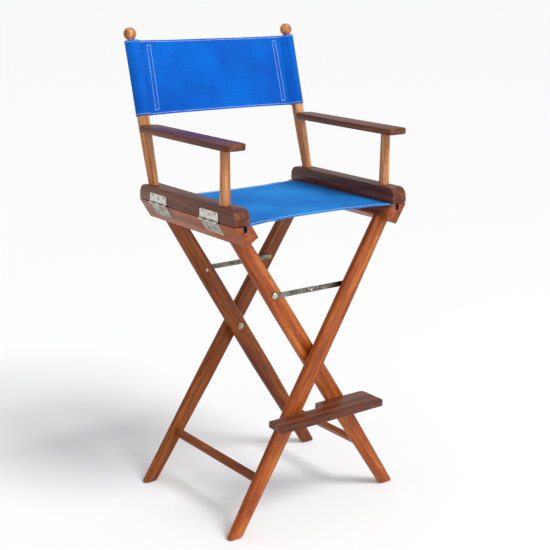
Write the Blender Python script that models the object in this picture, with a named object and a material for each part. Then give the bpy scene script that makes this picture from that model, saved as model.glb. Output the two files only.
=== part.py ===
"""Tall folding director's chair, open at rest: two crossed leg frames, arm frames and canvas.

X runs across the chair (+X is on the right of somebody looking at its front), the chair faces
-Y and Z is up. All lengths are metres. The inner frame (left rail, legs that end in the right
feet) stays put, and the outer frame turns about the bolts where the legs cross.
"""
import math

import bmesh
import bpy
from mathutils import Matrix, Vector

# ---- driving dimensions -------------------------------------------------------------------
MID_Y = -0.0179  # plane half way between the front and the rear legs
PIVOT_Z = 0.3953  # height of the bolts where the legs cross
LEAN = math.radians(32.5)  # legs from the vertical, seen from the front
SIN, COS = math.sin(LEAN), math.cos(LEAN)
SPLAY = 0.032  # front and rear legs spread this much per metre towards the feet

LEG_THICK, LEG_ROUND = 0.0215, 0.008
LEG_GAP = 0.008  # between an inner leg and its outer neighbour: the stays fold in it
INNER_HALF = 0.151  # inner legs' centre planes from MID_Y, at the pivot
OUTER_HALF = INNER_HALF + LEG_THICK + LEG_GAP
LEG_WIDTHS = ((-0.4687, 0.0332), (-0.158, 0.046), (0.154, 0.046), (0.382, 0.040))
GAP = 0.0003  # left between pieces that touch

RAIL_D = 0.3822  # rails' underside, measured up the leg from the pivot
RAIL_W = (-0.0222, 0.0172)  # rails' two long faces across the leg
RAIL_TOP = 0.7545
RAIL_Y = (-0.2232, 0.1928)
GROOVE_X, GROOVE_HALF, GROOVE_DEEP = 0.2266, 0.0046, 0.0140

BASE_X, BASE_Z, BASE_Y = (0.2135, 0.2555), (0.7560, 0.7935), (-0.2207, 0.1883)
BACK_Z = 0.7975  # level that distances up the back posts are counted from
POST_X = 0.2378
FRONT_POST_Y, FRONT_POST_R = -0.1587, (0.0128, 0.0113)
BACK_POST_Y, BACK_LEAN = 0.1519, math.radians(15.86)
BACK_POST_R = ((0.0, 0.0122), (0.070, 0.0140), (0.140, 0.0150), (0.3490, 0.0150))
ARM_X, ARM_Y, ARM_Z = (0.2095, 0.2675), (-0.2062, 0.1808), (0.9215, 0.9370)

HINGE_PIN = (0.2590, 0.7555)  # X, Z of the pin line between rail and arm base
HINGE_Y = (-0.1202, 0.1003)  # centres of the front and the rear hinge
HINGE_LONG, LEAF_THICK, KNUCKLE_R, PIN_R = 0.0755, 0.0012, 0.0026, 0.0013
UPPER_LEAF, LOWER_LEAF = 0.0235, 0.0390

STRETCHER_D, STRETCHER_ALONG, STRETCHER_ACROSS = -0.3205, 0.022, 0.015
STAY_D = 0.2012  # stay bolts, measured up the leg from the pivot
STAY_HIGH, STAY_LAP = 0.013, 0.014
STAY_LAYERS = ((0.0024, 0.0036), (0.0009, 0.0021))  # right and left link, off the inner leg
STAY_BOLT_R, PIVOT_BOLT_R, RUNNING = 0.0025, 0.0030, 0.00008

BOARD_X, BOARD_Z, BOARD_FRONT = (-0.153, 0.162), (0.259, 0.275), -0.2679
BOARD_STEP_X = 0.011
BOARD_REAR = (-0.2148, -0.1858)  # rear edge at the outer leg, and at the inner leg
BOARD_PIVOT = (0.1112, 0.2430)

CLOTH = 0.0007
SEAT_Y, SEAT_HOLLOW, SEAT_SAG = (-0.2212, 0.1768), (0.033, 0.006), 0.0025
BACK_T = (0.1650, 0.3497)  # back canvas, measured up the back post
SLEEVE_TIP = 0.0262  # from a post's axis to where its sleeve closes
FINIAL_T, FINIAL_R = 0.3665, 0.0158

# ---- materials ----------------------------------------------------------------------------


def material(name, colour, roughness, metallic=0.0):
    """A plain Principled material."""
    made = bpy.data.materials.new(name)
    made.use_nodes = True
    shader = made.node_tree.nodes["Principled BSDF"]
    shader.inputs["Base Color"].default_value = (*colour, 1.0)
    shader.inputs["Roughness"].default_value = roughness
    shader.inputs["Metallic"].default_value = metallic
    return made


def make_materials():
    """The seven finishes of the chair."""
    return {
        "frame_wood": material("frame_wood", (0.42, 0.15, 0.045), 0.45),
        "arm_wood": material("arm_wood", (0.13, 0.045, 0.022), 0.42),
        "post_wood": material("post_wood", (0.48, 0.22, 0.10), 0.40),
        "canvas_blue": material("canvas_blue", (0.012, 0.14, 0.72), 0.85),
        "hinge_steel": material("hinge_steel", (0.60, 0.59, 0.56), 0.35, 1.0),
        "stay_steel": material("stay_steel", (0.22, 0.21, 0.19), 0.40, 1.0),
        "bolt_steel": material("bolt_steel", (0.50, 0.48, 0.44), 0.30, 1.0),
    }


# ---- mesh helpers -------------------------------------------------------------------------


def to_object(name, bm, finish, smooth=False):
    """Write a bmesh to a new object with outward normals."""
    bmesh.ops.recalc_face_normals(bm, faces=bm.faces)
    mesh = bpy.data.meshes.new(name)
    bm.to_mesh(mesh)
    bm.free()
    if finish is not None:
        mesh.materials.append(finish)
    for face in mesh.polygons:
        face.use_smooth = smooth
    made = bpy.data.objects.new(name, mesh)
    bpy.context.collection.objects.link(made)
    return made


def loft(name, rings, finish, smooth=True):
    """A closed body through rings that all have the same number of points."""
    bm = bmesh.new()
    rows = [[bm.verts.new(p) for p in ring] for ring in rings]
    count = len(rows[0])
    for low, high in zip(rows, rows[1:]):
        for i in range(count):
            j = (i + 1) % count
            bm.faces.new((low[i], low[j], high[j], high[i]))
    bm.faces.new(rows[0][::-1])
    bm.faces.new(rows[-1])
    return to_object(name, bm, finish, smooth)


def prism(name, outline, low, high, place, finish, round_by=0.0, segments=2):
    """A flat outline carried from low to high; place(a, b, h) gives the point in space."""
    bm = bmesh.new()
    rows = [[bm.verts.new(place(a, b, h)) for a, b in outline] for h in (low, high)]
    count = len(outline)
    for i in range(count):
        j = (i + 1) % count
        bm.faces.new((rows[0][i], rows[0][j], rows[1][j], rows[1][i]))
    bm.faces.new(rows[0][::-1])
    bm.faces.new(rows[1])
    bmesh.ops.recalc_face_normals(bm, faces=bm.faces)
    if round_by:
        sharp = [e for e in bm.edges if e.calc_face_angle(0.0) > math.radians(32)]
        bmesh.ops.bevel(bm, geom=sharp, offset=round_by, segments=segments, profile=0.5,
                        affect="EDGES", clamp_overlap=True)
    return to_object(name, bm, finish)


def turned(name, base, axis, profile, finish, segments=24):
    """A body turned about an axis: profile is (distance along, radius) from end to end."""
    axis = Vector(axis).normalized()
    side = axis.orthogonal().normalized()
    other = axis.cross(side)
    rings = []
    for along, radius in profile:
        centre = Vector(base) + axis * along
        rings.append([
            centre + (side * math.cos(a) + other * math.sin(a)) * radius
            for a in (2 * math.pi * k / segments for k in range(segments))
        ])
    return loft(name, rings, finish)


def boolean(target, other, operation):
    """Cut or join with a helper that stays hidden."""
    other.hide_render = True
    other.display_type = "WIRE"
    change = target.modifiers.new(operation.lower() + "_" + other.name, "BOOLEAN")
    change.operation = operation
    change.solver = "EXACT"
    change.object = other


def drill(target, base, axis, length, radius, segments=24):
    """A round hole through a body."""
    cutter = turned("cut_" + target.name, base, axis, ((0.0, radius), (length, radius)),
                    None, segments)
    boolean(target, cutter, "DIFFERENCE")


def rounded_box(low, high, radius, steps=4):
    """Outline of a rectangle with round corners, anticlockwise."""
    (x0, y0), (x1, y1) = low, high
    corners = ((x1 - radius, y1 - radius, 0), (x0 + radius, y1 - radius, 90),
               (x0 + radius, y0 + radius, 180), (x1 - radius, y0 + radius, 270))
    return [
        (cx + radius * math.cos(math.radians(start + 90 * k / steps)),
         cy + radius * math.sin(math.radians(start + 90 * k / steps)))
        for cx, cy, start in corners for k in range(steps + 1)
    ]


# ---- where things are ---------------------------------------------------------------------


def leg_point(side, along, across):
    """X and Z of a point up the leg (along) and across it; side is -1 for the inner frame."""
    return (side * (along * SIN - across * COS), PIVOT_Z + along * COS + across * SIN)


def leg_y(side, end, along):
    """Centre plane of a leg; end is -1 for the front pair."""
    half = INNER_HALF if side < 0 else OUTER_HALF
    return MID_Y + end * (half - SPLAY * along)


def leg_face(side, end, along, facing):
    """Y of the face of a leg that looks towards facing (-1 front, +1 rear)."""
    return leg_y(side, end, along) + facing * LEG_THICK / 2


def back_point(x, up, forward):
    """A point near the leaning back posts, given up the post and forward of its axis."""
    return Vector((
        x,
        BACK_POST_Y + up * math.sin(BACK_LEAN) - forward * math.cos(BACK_LEAN),
        BACK_Z + up * math.cos(BACK_LEAN) + forward * math.sin(BACK_LEAN),
    ))


def blend(table, at):
    """Straight-line value between the rows of a table."""
    for (a, low), (b, high) in zip(table, table[1:]):
        if at <= b:
            return low + (high - low) * (at - a) / (b - a)
    return table[-1][1]


# ---- leg frames ---------------------------------------------------------------------------

FRAMES = (("inner", -1), ("outer", 1))
ENDS = (("front", -1), ("rear", 1))


def make_leg(name, side, end, finish):
    """A tapered leg with rounded long edges, cut level with the floor."""
    rings = []
    foot = -PIVOT_Z / COS
    stations = [(foot, 0.0060, 1), (foot + 0.002, 0.0022, 1), (foot + 0.008, 0.0, 1),
                (-0.158, 0.0, 1), (0.154, 0.0, 0), (RAIL_D - GAP, 0.0, 0)]
    for along, inset, level in stations:
        width = blend(LEG_WIDTHS, along) - 2 * inset
        thick = LEG_THICK - 2 * inset
        outline = rounded_box((-width / 2, -thick / 2), (width / 2, thick / 2),
                              LEG_ROUND - inset * 0.6)
        ring = []
        for across, off in outline:
            at = along - level * across * SIN / COS
            x, z = leg_point(side, at, across)
            ring.append((x, leg_y(side, end, at) + off, max(z, 0.0)))
        rings.append(ring)
    leg = loft(name, rings, finish)
    # The crossing bolt goes right through an inner leg and ends inside an outer one.
    start, deep = leg_face(side, end, 0.0, -end) - end * 0.01, 0.01 + LEG_THICK
    deep += 0.01 if side < 0 else -0.002
    drill(leg, (0.0, start, PIVOT_Z), (0, end, 0), deep, PIVOT_BOLT_R + RUNNING)
    x, z = leg_point(side, STAY_D, 0.0)
    drill(leg, (x, leg_y(side, end, STAY_D) - 0.03, z), (0, 1, 0), 0.06,
          STAY_BOLT_R + RUNNING)
    return leg


def make_rail(name, side, finish):
    """A seat rail in line with its legs, with a level top and a groove for the seat hem."""
    def flat_top(across):
        return (RAIL_TOP - PIVOT_Z - across * SIN) / COS
    corners = [leg_point(-1, RAIL_D, RAIL_W[0]), leg_point(-1, RAIL_D, RAIL_W[1]),
               leg_point(-1, flat_top(RAIL_W[1]), RAIL_W[1])]
    deep = RAIL_TOP - GROOVE_DEEP
    corners += [(-GROOVE_X + GROOVE_HALF, RAIL_TOP), (-GROOVE_X + GROOVE_HALF, deep),
                (-GROOVE_X - GROOVE_HALF, deep), (-GROOVE_X - GROOVE_HALF, RAIL_TOP)]
    corners.append(leg_point(-1, flat_top(RAIL_W[0]), RAIL_W[0]))
    return prism(name, corners, *RAIL_Y, lambda a, b, h: (-side * a, h, b), finish, 0.0010)


def make_stretcher(name, side, finish):
    """The low bar that ties a frame's front leg to its rear leg."""
    outline = rounded_box((-STRETCHER_ALONG / 2, -STRETCHER_ACROSS / 2),
                          (STRETCHER_ALONG / 2, STRETCHER_ACROSS / 2), 0.004)
    front = leg_face(side, -1, STRETCHER_D, 1) + 0.0008
    rear = leg_face(side, 1, STRETCHER_D, -1) - 0.0008

    def place(along, across, y):
        x, z = leg_point(side, STRETCHER_D + along, across)
        return (x, y, z)
    return prism(name, outline, front, rear, place, finish)


def make_frames(finish):
    """Both crossed frames: legs, seat rail and stretcher of each."""
    for frame, side in FRAMES:
        for where, end in ENDS:
            make_leg(f"{frame}_{where}_leg", side, end, finish["frame_wood"])
        make_rail(f"{frame}_seat_rail", side, finish["frame_wood"])
        make_stretcher(f"{frame}_stretcher", side, finish["frame_wood"])


# ---- bolts and folding stays --------------------------------------------------------------


def make_pivot(where, end, finish):
    """Bolt, cap nut and spacer where an inner and an outer leg cross."""
    nut_face = leg_face(-1, end, 0.0, -end)
    outer_in = leg_face(1, end, 0.0, -end)
    inner_out = leg_face(-1, end, 0.0, end)
    away = (0, end, 0)
    start = (0.0, nut_face - end * 0.0005, PIVOT_Z)
    reach = abs(leg_face(1, end, 0.0, end) - nut_face) - 0.0030
    turned(f"{where}_pivot_bolt", start, away, ((0.0, PIVOT_BOLT_R), (reach, PIVOT_BOLT_R)),
           finish["bolt_steel"])
    turned(f"{where}_pivot_nut", (0.0, nut_face - end * 0.0010, PIVOT_Z), (0, -end, 0),
           ((0.0, 0.0085), (0.0012, 0.0085), (0.0013, 0.0056), (0.0045, 0.0056),
            (0.0065, 0.0046), (0.0078, 0.0028)), finish["bolt_steel"])
    slack = GAP + 0.0110 * SPLAY
    spacer = turned(f"{where}_pivot_spacer", (0.0, inner_out + end * slack, PIVOT_Z), away,
                    ((0.0, 0.0110), (abs(outer_in - inner_out) - 2 * slack, 0.0110)),
                    finish["bolt_steel"])
    drill(spacer, (0.0, inner_out - end * 0.004, PIVOT_Z), away, 0.02,
          PIVOT_BOLT_R + RUNNING)


def stay_outline(bolt_x, tip_x):
    """Outline of a stay link with round ends, seen from the front."""
    half = STAY_HIGH / 2
    toward = 1 if tip_x > bolt_x else -1
    points = []
    for centre, start in ((bolt_x, 90), (tip_x - toward * half, -90)):
        for k in range(9):
            a = math.radians(start + 180 * k / 8)
            points.append((centre + toward * half * math.cos(a), half * math.sin(a)))
    return points


def make_stay(where, end, side, finish):
    """One link of a stay with its bolt; the two links lap in the middle of the chair."""
    name = f"{where}_stay_{'left' if side < 0 else 'right'}"
    bolt_x, bolt_z = leg_point(side, STAY_D, 0.0)
    base = leg_face(-1, end, STAY_D, end)  # outer side of the inner leg: gaps count from it
    layer = STAY_LAYERS[side < 0]
    link = prism(name, stay_outline(bolt_x, -side * STAY_LAP), base + end * layer[0],
                 base + end * layer[1], lambda a, b, h: (a, h, bolt_z + b),
                 finish["stay_steel"])
    drill(link, (bolt_x, base - end * 0.01, bolt_z), (0, end, 0), 0.03,
          STAY_BOLT_R + RUNNING)
    if side > 0:
        rivets = [(0.0, -0.0015, 0.0034), (-0.0095, 0.0036, 0.0022), (0.017, 0.0036, 0.0022)]
        for k, (x, up, radius) in enumerate(rivets):
            head = turned(f"join_{name}_{k}", (x, base + end * (layer[1] - 0.0004),
                          bolt_z + up), (0, end, 0),
                          ((0.0, radius), (0.0008, radius), (0.0012, radius * 0.6)), None, 16)
            boolean(link, head, "UNION")
        head, shoulder = 0.0012, 0.0056
        inside = LEG_GAP - 0.0005 - head
        reach = abs(leg_face(1, end, STAY_D, end) - base) + 0.0002 - head
        turned(f"{name}_bolt", (bolt_x, base + end * head, bolt_z), (0, end, 0),
               ((0.0, 0.0046), (0.0009, shoulder), (0.00091, STAY_BOLT_R),
                (0.0026, STAY_BOLT_R), (0.00261, shoulder), (inside, shoulder),
                (inside + 1e-5, STAY_BOLT_R), (reach, STAY_BOLT_R)), finish["bolt_steel"])
        return
    head = base + end * (layer[1] + 0.0002)
    reach = abs(leg_face(-1, end, STAY_D, -end) - head) + 0.0003
    turned(f"{name}_bolt", (bolt_x, head + end * 0.0018, bolt_z), (0, -end, 0),
           ((0.0, 0.0040), (0.0006, 0.0070), (0.0018, 0.0082), (0.0018 + 1e-5, STAY_BOLT_R),
            (0.0018 + reach, STAY_BOLT_R), (0.0018 + reach + 1e-5, 0.0042),
            (0.0018 + reach + 0.0014, 0.0036)), finish["bolt_steel"])


def make_stays(finish):
    """Crossing bolts and the two folding stays, front and rear."""
    for where, end in ENDS:
        make_pivot(where, end, finish)
        for side in (-1, 1):
            make_stay(where, end, side, finish)


# ---- arm frames ---------------------------------------------------------------------------


def make_arm_base(name, side, finish):
    """The bar that carries the posts, rounded along its upper edges and over its ends."""
    bm = bmesh.new()
    x0, x1 = BASE_X
    bmesh.ops.create_cube(bm, size=1.0, matrix=Matrix.LocRotScale(
        (side * (x0 + x1) / 2, sum(BASE_Y) / 2, sum(BASE_Z) / 2), None,
        (x1 - x0, BASE_Y[1] - BASE_Y[0], BASE_Z[1] - BASE_Z[0])))
    top = [e for e in bm.edges if all(v.co.z > BASE_Z[1] - 1e-5 for v in e.verts)]
    bmesh.ops.bevel(bm, geom=top, offset=0.0105, segments=5, profile=0.5, affect="EDGES")
    low = [e for e in bm.edges if all(v.co.z < BASE_Z[0] + 1e-5 for v in e.verts)]
    bmesh.ops.bevel(bm, geom=low, offset=0.0012, segments=2, profile=0.5, affect="EDGES")
    return to_object(name, bm, finish)


def make_armrest(name, side, finish):
    """A flat arm with round corners, coped at the rear round the back post."""
    low, high = (ARM_X[0], ARM_Y[0]), (ARM_X[1], ARM_Y[1])
    outline = rounded_box(low, high, 0.022, 6)[:14] + rounded_box(low, high, 0.012, 5)[12:]
    arm = prism(name, outline, *ARM_Z, lambda a, b, h: (side * a, b, h), finish, 0.0030, 3)
    foot = back_point(side * POST_X, 0.10, 0.0)
    axis = back_point(side * POST_X, 1.0, 0.0) - back_point(side * POST_X, 0.0, 0.0)
    drill(arm, foot, axis, 0.08, 0.0154)
    return arm


def make_back_post(name, side, finish):
    """A round post that leans back and thins towards its foot."""
    foot, head = back_point(side * POST_X, 0.0, 0.0), back_point(side * POST_X, 1.0, 0.0)
    # The foot is cut level with the arm base, so its first ring is sheared.
    rings = []
    for up, radius in BACK_POST_R:
        ring = []
        for k in range(24):
            a = 2 * math.pi * k / 24
            point = back_point(side * POST_X + radius * math.cos(a), up,
                               radius * math.sin(a))
            if up == 0.0:
                slide = (BASE_Z[1] + GAP - point.z) / math.cos(BACK_LEAN)
                point += (head - foot) * slide
            ring.append(point)
        rings.append(ring)
    return loft(name, rings, finish)


def make_finial(name, side, finish):
    """Ball and neck on top of a back post."""
    low = BACK_T[1] + GAP
    profile = [(0.0, 0.0085), (FINIAL_T - FINIAL_R - low + 0.0022, 0.0078)]
    for k in range(3, 13):
        a = math.pi * k / 12
        profile.append((FINIAL_T - low - FINIAL_R * math.cos(a),
                        max(FINIAL_R * math.sin(a), 0.0004)))
    base = back_point(side * POST_X, low, 0.0)
    axis = back_point(side * POST_X, low + 1.0, 0.0) - base
    return turned(name, base, axis, profile, finish)


def leaf_frame(side, upper):
    """Directions of a hinge leaf from its pin (down or up the wood, and out of it)."""
    if upper:
        return Vector((0, 0, 1)), Vector((side, 0, 0)), -0.0032
    return Vector((-side * SIN, 0, -COS)), Vector((side * COS, 0, -SIN)), -0.00245


def knuckle_outline(offset):
    """Section of a knuckle with the tongue that joins it to its leaf, as (up, out) pairs."""
    inner = offset + LEAF_THICK
    start = math.asin(inner / KNUCKLE_R)
    stop = 2 * math.pi - math.asin(-offset / KNUCKLE_R) if -offset < KNUCKLE_R \
        else 1.5 * math.pi
    points = [(KNUCKLE_R * math.cos(start + (stop - start) * k / 14),
               KNUCKLE_R * math.sin(start + (stop - start) * k / 14)) for k in range(15)]
    if -offset >= KNUCKLE_R:
        points.append((0.0, offset))
    return points + [(0.0045, offset), (0.0045, inner)]


def make_leaf(name, side, y, upper, finish):
    """One leaf of a butt hinge with its share of the five knuckles, bored for the pin."""
    along, out, offset = leaf_frame(side, upper)
    pin = Vector((side * HINGE_PIN[0], y, HINGE_PIN[1]))
    length, half = (UPPER_LEAF if upper else LOWER_LEAF), HINGE_LONG / 2
    corner = 0.005 if upper else 0.008
    outline = [(-half, 0.0030), (half, 0.0030)]
    for centre, start in ((half - corner, 0), (-half + corner, 90)):
        for k in range(5):
            a = math.radians(start + 90 * k / 4)
            outline.append((centre + corner * math.cos(a),
                            length - corner + corner * math.sin(a)))

    def place(across, up, h):
        return pin + Vector((0, across, 0)) + along * up + out * h

    def place_knuckle(up, off, h):
        return pin + Vector((0, h, 0)) + along * up + out * off
    leaf = prism(name, outline, offset, offset + LEAF_THICK, place, finish)
    for k in (range(0, 5, 2) if upper else range(1, 5, 2)):
        start = -half + HINGE_LONG * k / 5 + 0.0002
        stop = -half + HINGE_LONG * (k + 1) / 5 - 0.0002
        tube = prism(f"join_{name}_{k}", knuckle_outline(offset), start, stop,
                     place_knuckle, None)
        boolean(leaf, tube, "UNION")
    drill(leaf, pin - Vector((0, half + 0.01, 0)), (0, 1, 0), HINGE_LONG + 0.02,
          PIN_R + 0.0001, 16)
    return leaf


def make_hinges(word, frame, side, finish):
    """The two butt hinges of one side: leaves and pins."""
    for (where, _), y in zip(ENDS, HINGE_Y):
        make_leaf(f"{word}_{where}_upper_leaf", side, y, True, finish["hinge_steel"])
        make_leaf(f"{frame}_{where}_lower_leaf", side, y, False, finish["hinge_steel"])
        start = (side * HINGE_PIN[0], y - HINGE_LONG / 2 - 0.001, HINGE_PIN[1])
        turned(f"{word}_{where}_hinge_pin", start, (0, 1, 0),
               ((0.0, PIN_R), (HINGE_LONG + 0.002, PIN_R)), finish["hinge_steel"], 16)


def make_arms(finish):
    """Arm frame of each side: base, posts, armrest, finial and hinges."""
    for word, frame, side in (("left", "inner", -1), ("right", "outer", 1)):
        make_arm_base(f"{word}_arm_base", side, finish["arm_wood"])
        turned(f"{word}_front_post", (side * POST_X, FRONT_POST_Y, BASE_Z[1] + GAP),
               (0, 0, 1), ((0.0, FRONT_POST_R[0]),
                           (ARM_Z[0] - BASE_Z[1] - 2 * GAP, FRONT_POST_R[1])),
               finish["post_wood"])
        make_back_post(f"{word}_back_post", side, finish["post_wood"])
        make_finial(f"{word}_finial", side, finish["post_wood"])
        make_armrest(f"{word}_armrest", side, finish["arm_wood"])
        make_hinges(word, frame, side, finish)


# ---- canvas -------------------------------------------------------------------------------


def seat_path():
    """Middle line of the seat canvas across the chair, with a hem in each groove."""
    low = RAIL_TOP - GROOVE_DEEP + GROOVE_HALF  # height of the dowel in the groove
    level, ring, bend = RAIL_TOP + GAP + CLOTH / 2 + 0.0001, 0.0037, 0.0017
    half = [(-GROOVE_X - ring, low + 0.004)]
    half += [(-GROOVE_X - ring * math.cos(a), low - ring * math.sin(a))
             for a in (math.pi * k / 8 for k in range(9))]
    turn = (-GROOVE_X + ring + bend, level - bend)
    half += [(turn[0] - bend * math.cos(a), turn[1] + bend * math.sin(a))
             for a in (math.pi * k / 6 for k in range(4))]
    half += [(-0.2135, level)]
    edge = 0.2070
    for k in range(9):
        x = -edge * (1 - k / 8)
        half.append((x, level - SEAT_SAG * (1 - (x / edge) ** 2)))
    return half + [(-x, z) for x, z in half[-2::-1]]


def sheet_solid(name, path, ends, finish, steps):
    """A sheet of even thickness carried along Y; ends(x) gives its two Y limits there."""
    count = len(path)
    normals = []
    for i in range(count):
        (x0, z0), (x1, z1) = path[max(i - 1, 0)], path[min(i + 1, count - 1)]
        long = math.hypot(x1 - x0, z1 - z0)
        normals.append(((z0 - z1) / long, (x1 - x0) / long))
    rings = []
    for k in range(steps + 1):
        ring = []
        for sign in (1, -1):
            order = range(count) if sign > 0 else range(count - 1, -1, -1)
            for i in order:
                (x, z), (nx, nz) = path[i], normals[i]
                low, high = ends(x)
                ring.append((x + sign * nx * CLOTH / 2, low + (high - low) * k / steps,
                             z + sign * nz * CLOTH / 2))
        rings.append(ring)
    return loft(name, rings, finish)


def make_seat(finish):
    """Seat canvas hemmed round a dowel in each rail, its free edges drawn in."""
    def ends(x):
        drawn = max(0.0, 1 - (x / 0.2070) ** 2)
        return SEAT_Y[0] + SEAT_HOLLOW[0] * drawn, SEAT_Y[1] - SEAT_HOLLOW[1] * drawn
    sheet_solid("seat_canvas", seat_path(), ends, finish["canvas_blue"], 8)
    z = RAIL_TOP - GROOVE_DEEP + GROOVE_HALF
    for frame, side in FRAMES:
        turned(f"{frame}_seat_dowel", (side * GROOVE_X, RAIL_Y[0] + 0.006, z), (0, 1, 0),
               ((0.0, 0.0031), (RAIL_Y[1] - RAIL_Y[0] - 0.012, 0.0031)),
               finish["post_wood"], 16)


def teardrop(side, radius, tip):
    """Section of a sleeve round a post: a circle drawn out to a point towards the panel."""
    touch = math.acos(radius / tip)
    points = [(tip, 0.0004), (tip, -0.0004)]
    for k in range(17):
        a = -touch - (2 * math.pi - 2 * touch) * k / 16
        points.append((radius * math.cos(a), radius * math.sin(a)))
    return [(-side * x, off) for x, off in points]


def make_sleeve(name, side, finish):
    """Canvas sleeve round a back post, sewn shut towards the middle of the back."""
    def tube(title, radius, tip, low, high, made_of):
        outline = teardrop(side, radius, tip)
        rings = [[back_point(side * POST_X + x, up, off) for x, off in outline]
                 for up in (low, high)]
        return loft(title, rings, made_of)
    sleeve = tube(name, 0.0164, SLEEVE_TIP, *BACK_T, finish)
    cutter = tube("cut_" + name, 0.0154, SLEEVE_TIP - 0.002, BACK_T[0] - 0.01,
                  BACK_T[1] + 0.01, None)
    boolean(sleeve, cutter, "DIFFERENCE")
    return sleeve


def make_back(finish):
    """Back canvas: a sleeve on each post and the panel between them."""
    for word, side in (("left", -1), ("right", 1)):
        make_sleeve(f"{word}_back_sleeve", side, finish["canvas_blue"])
    edge, half = POST_X - SLEEVE_TIP - GAP, 0.0007
    rings = []
    for k in range(13):
        x = -edge + 2 * edge * k / 12
        mid = 1 - (x / edge) ** 2
        low, high = BACK_T[0] + 0.002 * mid, BACK_T[1] - 0.0005 * mid
        rings.append([back_point(x, low, half), back_point(x, high, half),
                      back_point(x, high, -half), back_point(x, low, -half)])
    loft("back_panel", rings, finish["canvas_blue"])


# ---- footrest -----------------------------------------------------------------------------


def make_footrest(finish):
    """Board hinged on the inner front leg; its other end lies on a block on the outer leg."""
    (x0, x1), (outer_rear, inner_rear) = BOARD_X, BOARD_REAR
    r = 0.006
    outline = [(x0 + r, BOARD_FRONT), (x1 - r, BOARD_FRONT), (x1 - r * 0.3, BOARD_FRONT + r * 0.3),
               (x1, BOARD_FRONT + r), (x1, inner_rear - 0.012),
               (x1 - 0.0035, inner_rear - 0.0035), (x1 - 0.012, inner_rear),
               (BOARD_STEP_X, inner_rear), (BOARD_STEP_X - 0.006, inner_rear - 0.006),
               (BOARD_STEP_X - 0.012, outer_rear), (x0 + r, outer_rear),
               (x0 + r * 0.3, outer_rear - r * 0.3), (x0, outer_rear - r),
               (x0, BOARD_FRONT + r), (x0 + r * 0.3, BOARD_FRONT + r * 0.3)]
    prism("footrest_board", outline, *BOARD_Z, lambda a, b, h: (a, b, h),
          finish["arm_wood"], 0.0018)
    px, pz = BOARD_PIVOT
    face = leg_face(-1, -1, -0.19, -1) - 0.0012
    cleat_outline = [(px - 0.016, BOARD_Z[0] - GAP), (px - 0.016, pz - 0.004),
                     (px - 0.011, pz - 0.009), (px + 0.011, pz - 0.009),
                     (px + 0.016, pz - 0.004), (px + 0.016, BOARD_Z[0] - GAP)]
    cleat = prism("footrest_cleat", cleat_outline, face - 0.026, face,
                  lambda a, b, h: (a, h, b), finish["arm_wood"])
    drill(cleat, (px, face - 0.04, pz), (0, 1, 0), 0.06, STAY_BOLT_R + RUNNING)
    leg = bpy.data.objects["inner_front_leg"]
    drill(leg, (px, face - 0.01, pz), (0, 1, 0), 0.05, STAY_BOLT_R + RUNNING)
    turned("footrest_bolt", (px, face - 0.0290, pz), (0, 1, 0),
           ((0.0, 0.0040), (0.0012, 0.0056), (0.0026, 0.0060), (0.0026 + 1e-5, STAY_BOLT_R),
            (0.0290 + LEG_THICK + 0.0005, STAY_BOLT_R)), finish["bolt_steel"])
    block_face = leg_face(1, -1, -0.175, -1) - 0.0006
    prism("footrest_block", [(-0.118, 0.2450), (-0.068, 0.2450),
                             (-0.068, BOARD_Z[0] - GAP), (-0.118, BOARD_Z[0] - GAP)],
          block_face - 0.024, block_face, lambda a, b, h: (a, h, b),
          finish["frame_wood"], 0.0010)


# ---- what moves together ------------------------------------------------------------------


def hang(name, at, pieces, parent=None):
    """An empty on a joint's axis that carries its pieces without moving them."""
    empty = bpy.data.objects.new(name, None)
    bpy.context.collection.objects.link(empty)
    base = Vector(at)
    empty.location = base
    if parent is not None:
        empty.parent, empty.location = parent, base - parent.location
    for piece in pieces:
        held = bpy.data.objects[piece]
        held.parent = empty
        held.location = -base
    return empty


def arm_pieces(word):
    """Names of the pieces of one arm frame."""
    names = ["arm_base", "front_post", "back_post", "finial", "armrest", "back_sleeve"]
    names += [f"{where}_{what}" for where, _ in ENDS for what in ("upper_leaf", "hinge_pin")]
    return [f"{word}_{name}" for name in names]


def make_joints():
    """Empties on the joint axes: outer frame, arm frames, stay links and footrest."""
    outer = ["seat_rail", "stretcher", "seat_dowel"]
    outer += [f"{where}_{what}" for where, _ in ENDS for what in ("leg", "lower_leaf")]
    pieces = [f"outer_{name}" for name in outer] + ["footrest_block"]
    pieces += [f"{where}_stay_right_bolt" for where, _ in ENDS]
    fold = hang("fold_axis", (0.0, MID_Y, PIVOT_Z), pieces)
    pin_x, pin_z = HINGE_PIN
    hang("left_arm_axis", (-pin_x, MID_Y, pin_z), arm_pieces("left") + ["back_panel"])
    hang("right_arm_axis", (pin_x, MID_Y, pin_z), arm_pieces("right"), fold)
    for where, end in ENDS:
        for word, side in (("left", -1), ("right", 1)):
            x, z = leg_point(side, STAY_D, 0.0)
            hang(f"{where}_stay_{word}_axis", (x, leg_face(-1, end, STAY_D, end), z),
                 [f"{where}_stay_{word}"], fold if side > 0 else None)
    hang("footrest_axis", (BOARD_PIVOT[0], BOARD_FRONT, BOARD_PIVOT[1]),
         ["footrest_board", "footrest_cleat"])


def main():
    """Clear the scene and build every piece of the chair."""
    for old in list(bpy.data.objects):
        bpy.data.objects.remove(old)
    finish = make_materials()
    make_frames(finish)
    make_stays(finish)
    make_arms(finish)
    make_seat(finish)
    make_back(finish)
    make_footrest(finish)
    make_joints()


main()
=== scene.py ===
"""Looks of a tall folding director's chair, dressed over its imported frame.

X runs across the chair, the chair faces -Y and Z is up. Every length is in metres. The inner
leg frame carries the left seat rail and the outer one the right seat rail.
"""

import logging
import math
from dataclasses import dataclass
from enum import Enum
from typing import Any, Callable, Iterable, Sequence

import bmesh
import bpy
import numpy as np
from mathutils import Matrix, Vector


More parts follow.
